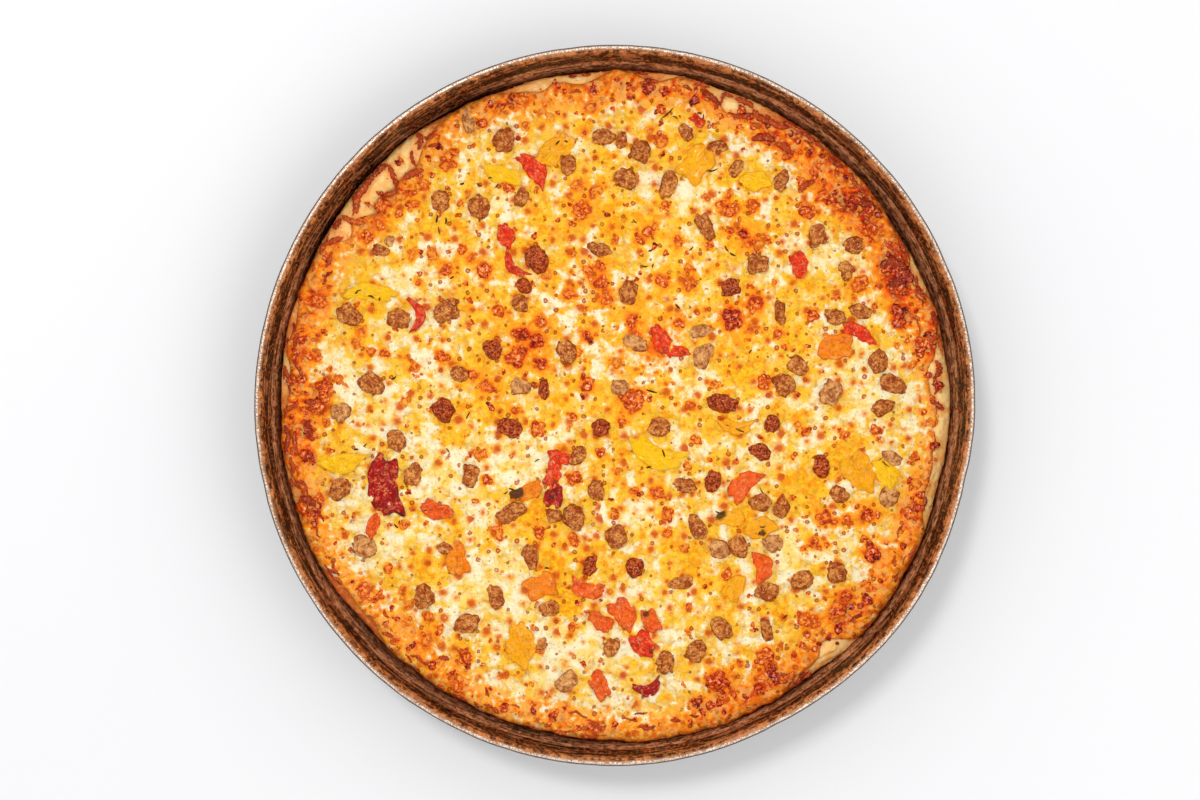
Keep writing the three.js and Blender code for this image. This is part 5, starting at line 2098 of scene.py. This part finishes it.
@dataclass
class Peppers:
    """Pieces of roasted pepper: soft flat pillows with uneven outlines, draped on the cheese."""

    form: PizzaForm
    thickness: float = 3.4
    sink: float = 1.6
    piece_seed: int = 300
    bit_seed: int = 900

    def drape(self, ball: Shape, topping: Topping, seed: int, hue: float) -> Shape:
        """Shape one piece of pepper.

        Args:
            ball: the unit ball it starts from.
            topping: where it lies.
            seed: the seed of its solid.
            hue: its place on the pepper ramp.

        Returns:
            The piece.
        """
        dice = Dice(seed)
        corners = 3 + math.floor(2 * dice.roll())
        phase = dice.roll() * 2 * math.pi
        curl = 0.6 + 0.9 * dice.roll()
        half = self.thickness / 2
        unit = ball.corners
        rho = np.hypot(unit[:, 0], unit[:, 1])
        flat = np.clip(rho, 0, 1) ** 0.55
        a = np.arctan2(unit[:, 1], unit[:, 0])
        upper = half * (1 - flat**5) ** 0.75 * (0.82 + 0.18 * flat)
        z = np.where(unit[:, 2] > 0, upper, -half * (1 - flat**4))
        rim = 0.02 * np.cos(9 * a + 3 * phase) + 0.015 * np.cos(17 * a + phase)
        outline = 1 + 0.1 * np.cos(corners * a + phase) + 0.06 * np.cos(5 * a + 2 * phase) + rim
        outline *= 1 + 0.05 * np.cos(7 * a + 5 * phase) + 0.02 * np.cos(13 * a + 9 * phase)
        outline *= (np.abs(np.cos(a)) ** 2.8 + np.abs(np.sin(a)) ** 2.8) ** (-1 / 2.8) * 0.95
        u = flat * np.cos(a) * outline * topping.length / 2
        v = flat * np.sin(a) * outline * topping.width / 2
        along = 2 * u / topping.length
        v = v + topping.bend * (1 - 2 * along * along)
        wrinkle = Ripples(2.2, 6.0, 14, seed).at(u * 0.6, v * 1.5)
        w = z + curl * (along * along - 0.3) * np.where(z > 0, 1.0, 0.4)
        w = w + np.where(unit[:, 2] > 0, 0.42 * wrinkle * (1 - flat**6), 0.0)
        x, y = topping.place(u, v)
        ground = self.form.cheese_top(x, y) + self.thickness * 0.22
        scorch = np.zeros_like(x)
        for sx, sy, radius, dark in PEPPER_SCORCH:
            scorch += CheeseSkin.halo(x, y, sx * GRID, sy * GRID, radius * GRID, dark)
        values = {
            "hue": np.full(len(unit), hue), "across": flat, "scorch": np.clip(scorch, 0, 1),
            "veil": np.full(len(unit), 0.10 - 0.3 * hue + 0.3 * (dice.roll() - 0.5)),
        }
        place = np.column_stack([x, y, ground + np.maximum(-self.sink, w)])
        return Shape(place, ball.faces, values)

    def build(self) -> None:
        """Make one piece for each colour of pepper, and one for the sunken bits."""
        ball = Shape.ball(44, 22)
        groups: dict[str, list[tuple[str, Shape]]] = {}
        for i, (name, *row, kind) in enumerate(PEPPER_PIECES):
            key = "dark_red" if name.startswith("dark_red") else name.split("_")[0]
            shape = self.drape(ball, Topping.from_steps(row), self.piece_seed + i, kind.value)
            groups.setdefault(key, []).append((f"pepper_{name}", shape))
        skin = RoastedPepper()
        for key, members in groups.items():
            names, shapes = zip(*members)
            Shape.joined(shapes).to_piece(f"{key}_pepper", skin, f"pepper_{key}", names)
        bits = [
            self.drape(ball, Topping.from_steps(row), self.bit_seed + i, row[6].value)
            for i, row in enumerate(PEPPER_BITS)
        ]
        Shape.joined(bits).to_piece("pepper_bits", skin, "pepper_orange", ["cheese"])


@dataclass
class Flecks:
    """Flecks of herb and char, thin and curled, that lie on whatever is below them."""

    skin: CheeseSkin
    chunks: list[Topping]
    peppers: list[Topping]
    seed: int = 55

    def build(self) -> None:
        """Lay the flecks and dress them."""
        unit = Shape.ball(8, 8)
        rng = np.random.default_rng(self.seed)
        shapes = []
        for bx, by, length, turn in FLECKS:
            x0, y0 = on_board(bx, by)
            half = length * GRID / 2
            wide = 0.32 + 0.28 * rng.random()
            bend = (rng.random() - 0.5) * half * 0.7
            u = unit.corners[:, 2] * half
            v = unit.corners[:, 0] * wide + bend * unit.corners[:, 2] ** 2
            fleck = Topping(x0, y0, 2 * half, 2 * wide, turn + 12 * (rng.random() - 0.5))
            x, y = fleck.place(u, v)
            z = self.ground(x, y) + 0.12 + 0.16 * unit.corners[:, 1]
            tone = np.full(len(x), rng.random() ** 2)
            shapes.append(Shape(np.column_stack([x, y, z]), unit.faces, {"tone": tone}))
        Shape.joined(shapes).to_piece("herb_flecks", DriedHerb(), "cheese", [])

    def ground(self, x: Array, y: Array) -> Array:
        """Height of what a fleck lies on, with the toppings under it.

        Args:
            x, y: places in millimetres.

        Returns:
            Heights in millimetres.
        """
        z = self.skin.top(x, y)
        for piece in self.peppers:
            t = piece.reach(x, y)
            cover = np.clip(1.0 - t**6, 0.0, 1.0) ** 0.6
            top = self.skin.form.cheese_top(x, y) + 0.75 + 1.6 * cover
            z = np.maximum(z, np.where(t < 1, top, z))
        for chunk in self.chunks:
            t = chunk.reach(x, y)
            dome = chunk.width * 0.35 * np.sqrt(np.clip(1.0 - t * t, 0.0, 1.0))
            base = self.skin.form.cheese_top(np.array([chunk.x]), np.array([chunk.y]))[0]
            z = np.maximum(z, np.where(t < 1, base + dome, z))
        return z


@dataclass
class Studio:
    """Plain pale floor, soft light and a camera that looks straight down."""

    camera_x: float = -0.0085
    camera_y: float = 0.0031
    camera_z: float = 0.996
    lens: float = 50.0
    sensor: float = 36.0
    floor_size: float = 20.0
    ceiling: float = 0.12
    walls: float = 1.08
    wall_top: float = 0.97
    wall_foot: float = 0.66
    key: tuple = ((-0.6, 0.8, 2.1), 0.45, 17.0)
    fill: tuple = ((1.2, -0.6, 1.8), 1.4, 9.0)

    def camera(self) -> None:
        """Put the camera over the pan."""
        data = bpy.data.cameras.new("camera")
        data.lens = self.lens
        data.sensor_width = self.sensor
        obj = linked("camera", data)
        obj.location = (self.camera_x, self.camera_y, self.camera_z)
        bpy.context.scene.camera = obj

    def softbox(self, name: str, place: tuple, size: float, power: float) -> None:
        """Add a square light that looks at the pizza.

        Args:
            name: the light's name.
            place: where it stands, in metres.
            size, power: its side in metres, and its power in watts.
        """
        data = bpy.data.lights.new(name, "AREA")
        data.shape = "SQUARE"
        data.size = size
        data.energy = power
        obj = linked(name, data)
        obj.location = place
        obj.rotation_mode = "QUATERNION"
        obj.rotation_quaternion = (-Vector(place)).to_track_quat("-Z", "Y")

    def floor(self) -> None:
        """Lay the floor."""
        bm = bmesh.new()
        bmesh.ops.create_grid(bm, x_segments=2, y_segments=2, size=self.floor_size)
        mesh = to_mesh(bm, "floor")
        mesh.materials.append(WhiteTable().material)
        obj = linked("floor", mesh)

    def light(self) -> None:
        """Set the sky and the softboxes."""
        world = bpy.data.worlds.new("studio")
        world.use_nodes = True
        tree = world.node_tree
        sky = tree.nodes["Background"]
        sky.inputs["Color"].default_value = (1.0, 1.0, 1.0, 1.0)
        heading = tree.nodes.new("ShaderNodeTexCoord")
        split = tree.nodes.new("ShaderNodeSeparateXYZ")
        walls = tree.nodes.new("ShaderNodeMapRange")
        walls.interpolation_type = "SMOOTHSTEP"
        for name, value in (
            ("From Min", self.wall_top), ("From Max", self.wall_foot),
            ("To Min", self.ceiling), ("To Max", self.walls),
        ):
            walls.inputs[name].default_value = value
        tree.links.new(heading.outputs["Generated"], split.inputs[0])
        tree.links.new(split.outputs["Z"], walls.inputs["Value"])
        tree.links.new(walls.outputs["Result"], sky.inputs["Strength"])
        bpy.context.scene.world = world
        self.softbox("key", *self.key)
        self.softbox("fill", *self.fill)
        view = bpy.context.scene.view_settings
        view.view_transform = "Standard"
        view.look = "None"
        view.exposure = 0.0
        view.gamma = 1.0


def main() -> None:
    """Build the pan, the pizza and the toppings."""
    logging.basicConfig(level=logging.INFO, format="%(name)s: %(message)s")
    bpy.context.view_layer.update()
    studio = Studio()
    studio.camera()
    studio.floor()
    studio.light()

    pan = PanForm()
    form = PizzaForm()
    chunks = [Topping.from_steps(row) for row in CHUNKS + BITS]
    peppers = [Topping.from_steps(row[1:]) for row in PEPPER_PIECES]
    peppers += [Topping.from_steps(row) for row in PEPPER_BITS]
    skin = CheeseSkin(form, chunks, peppers)

    Pan(pan).build()
    Dough(form, pan, skin).build()
    blisters = Blisters(form, skin, chunks + peppers)
    Cheese(form, skin, blisters.rows()).build()
    blisters.build()
    Strands(form, skin).build()
    Sausage(form).build()
    Peppers(form).build()
    Flecks(skin, chunks, peppers).build()


if __name__ == "__main__":
    main()
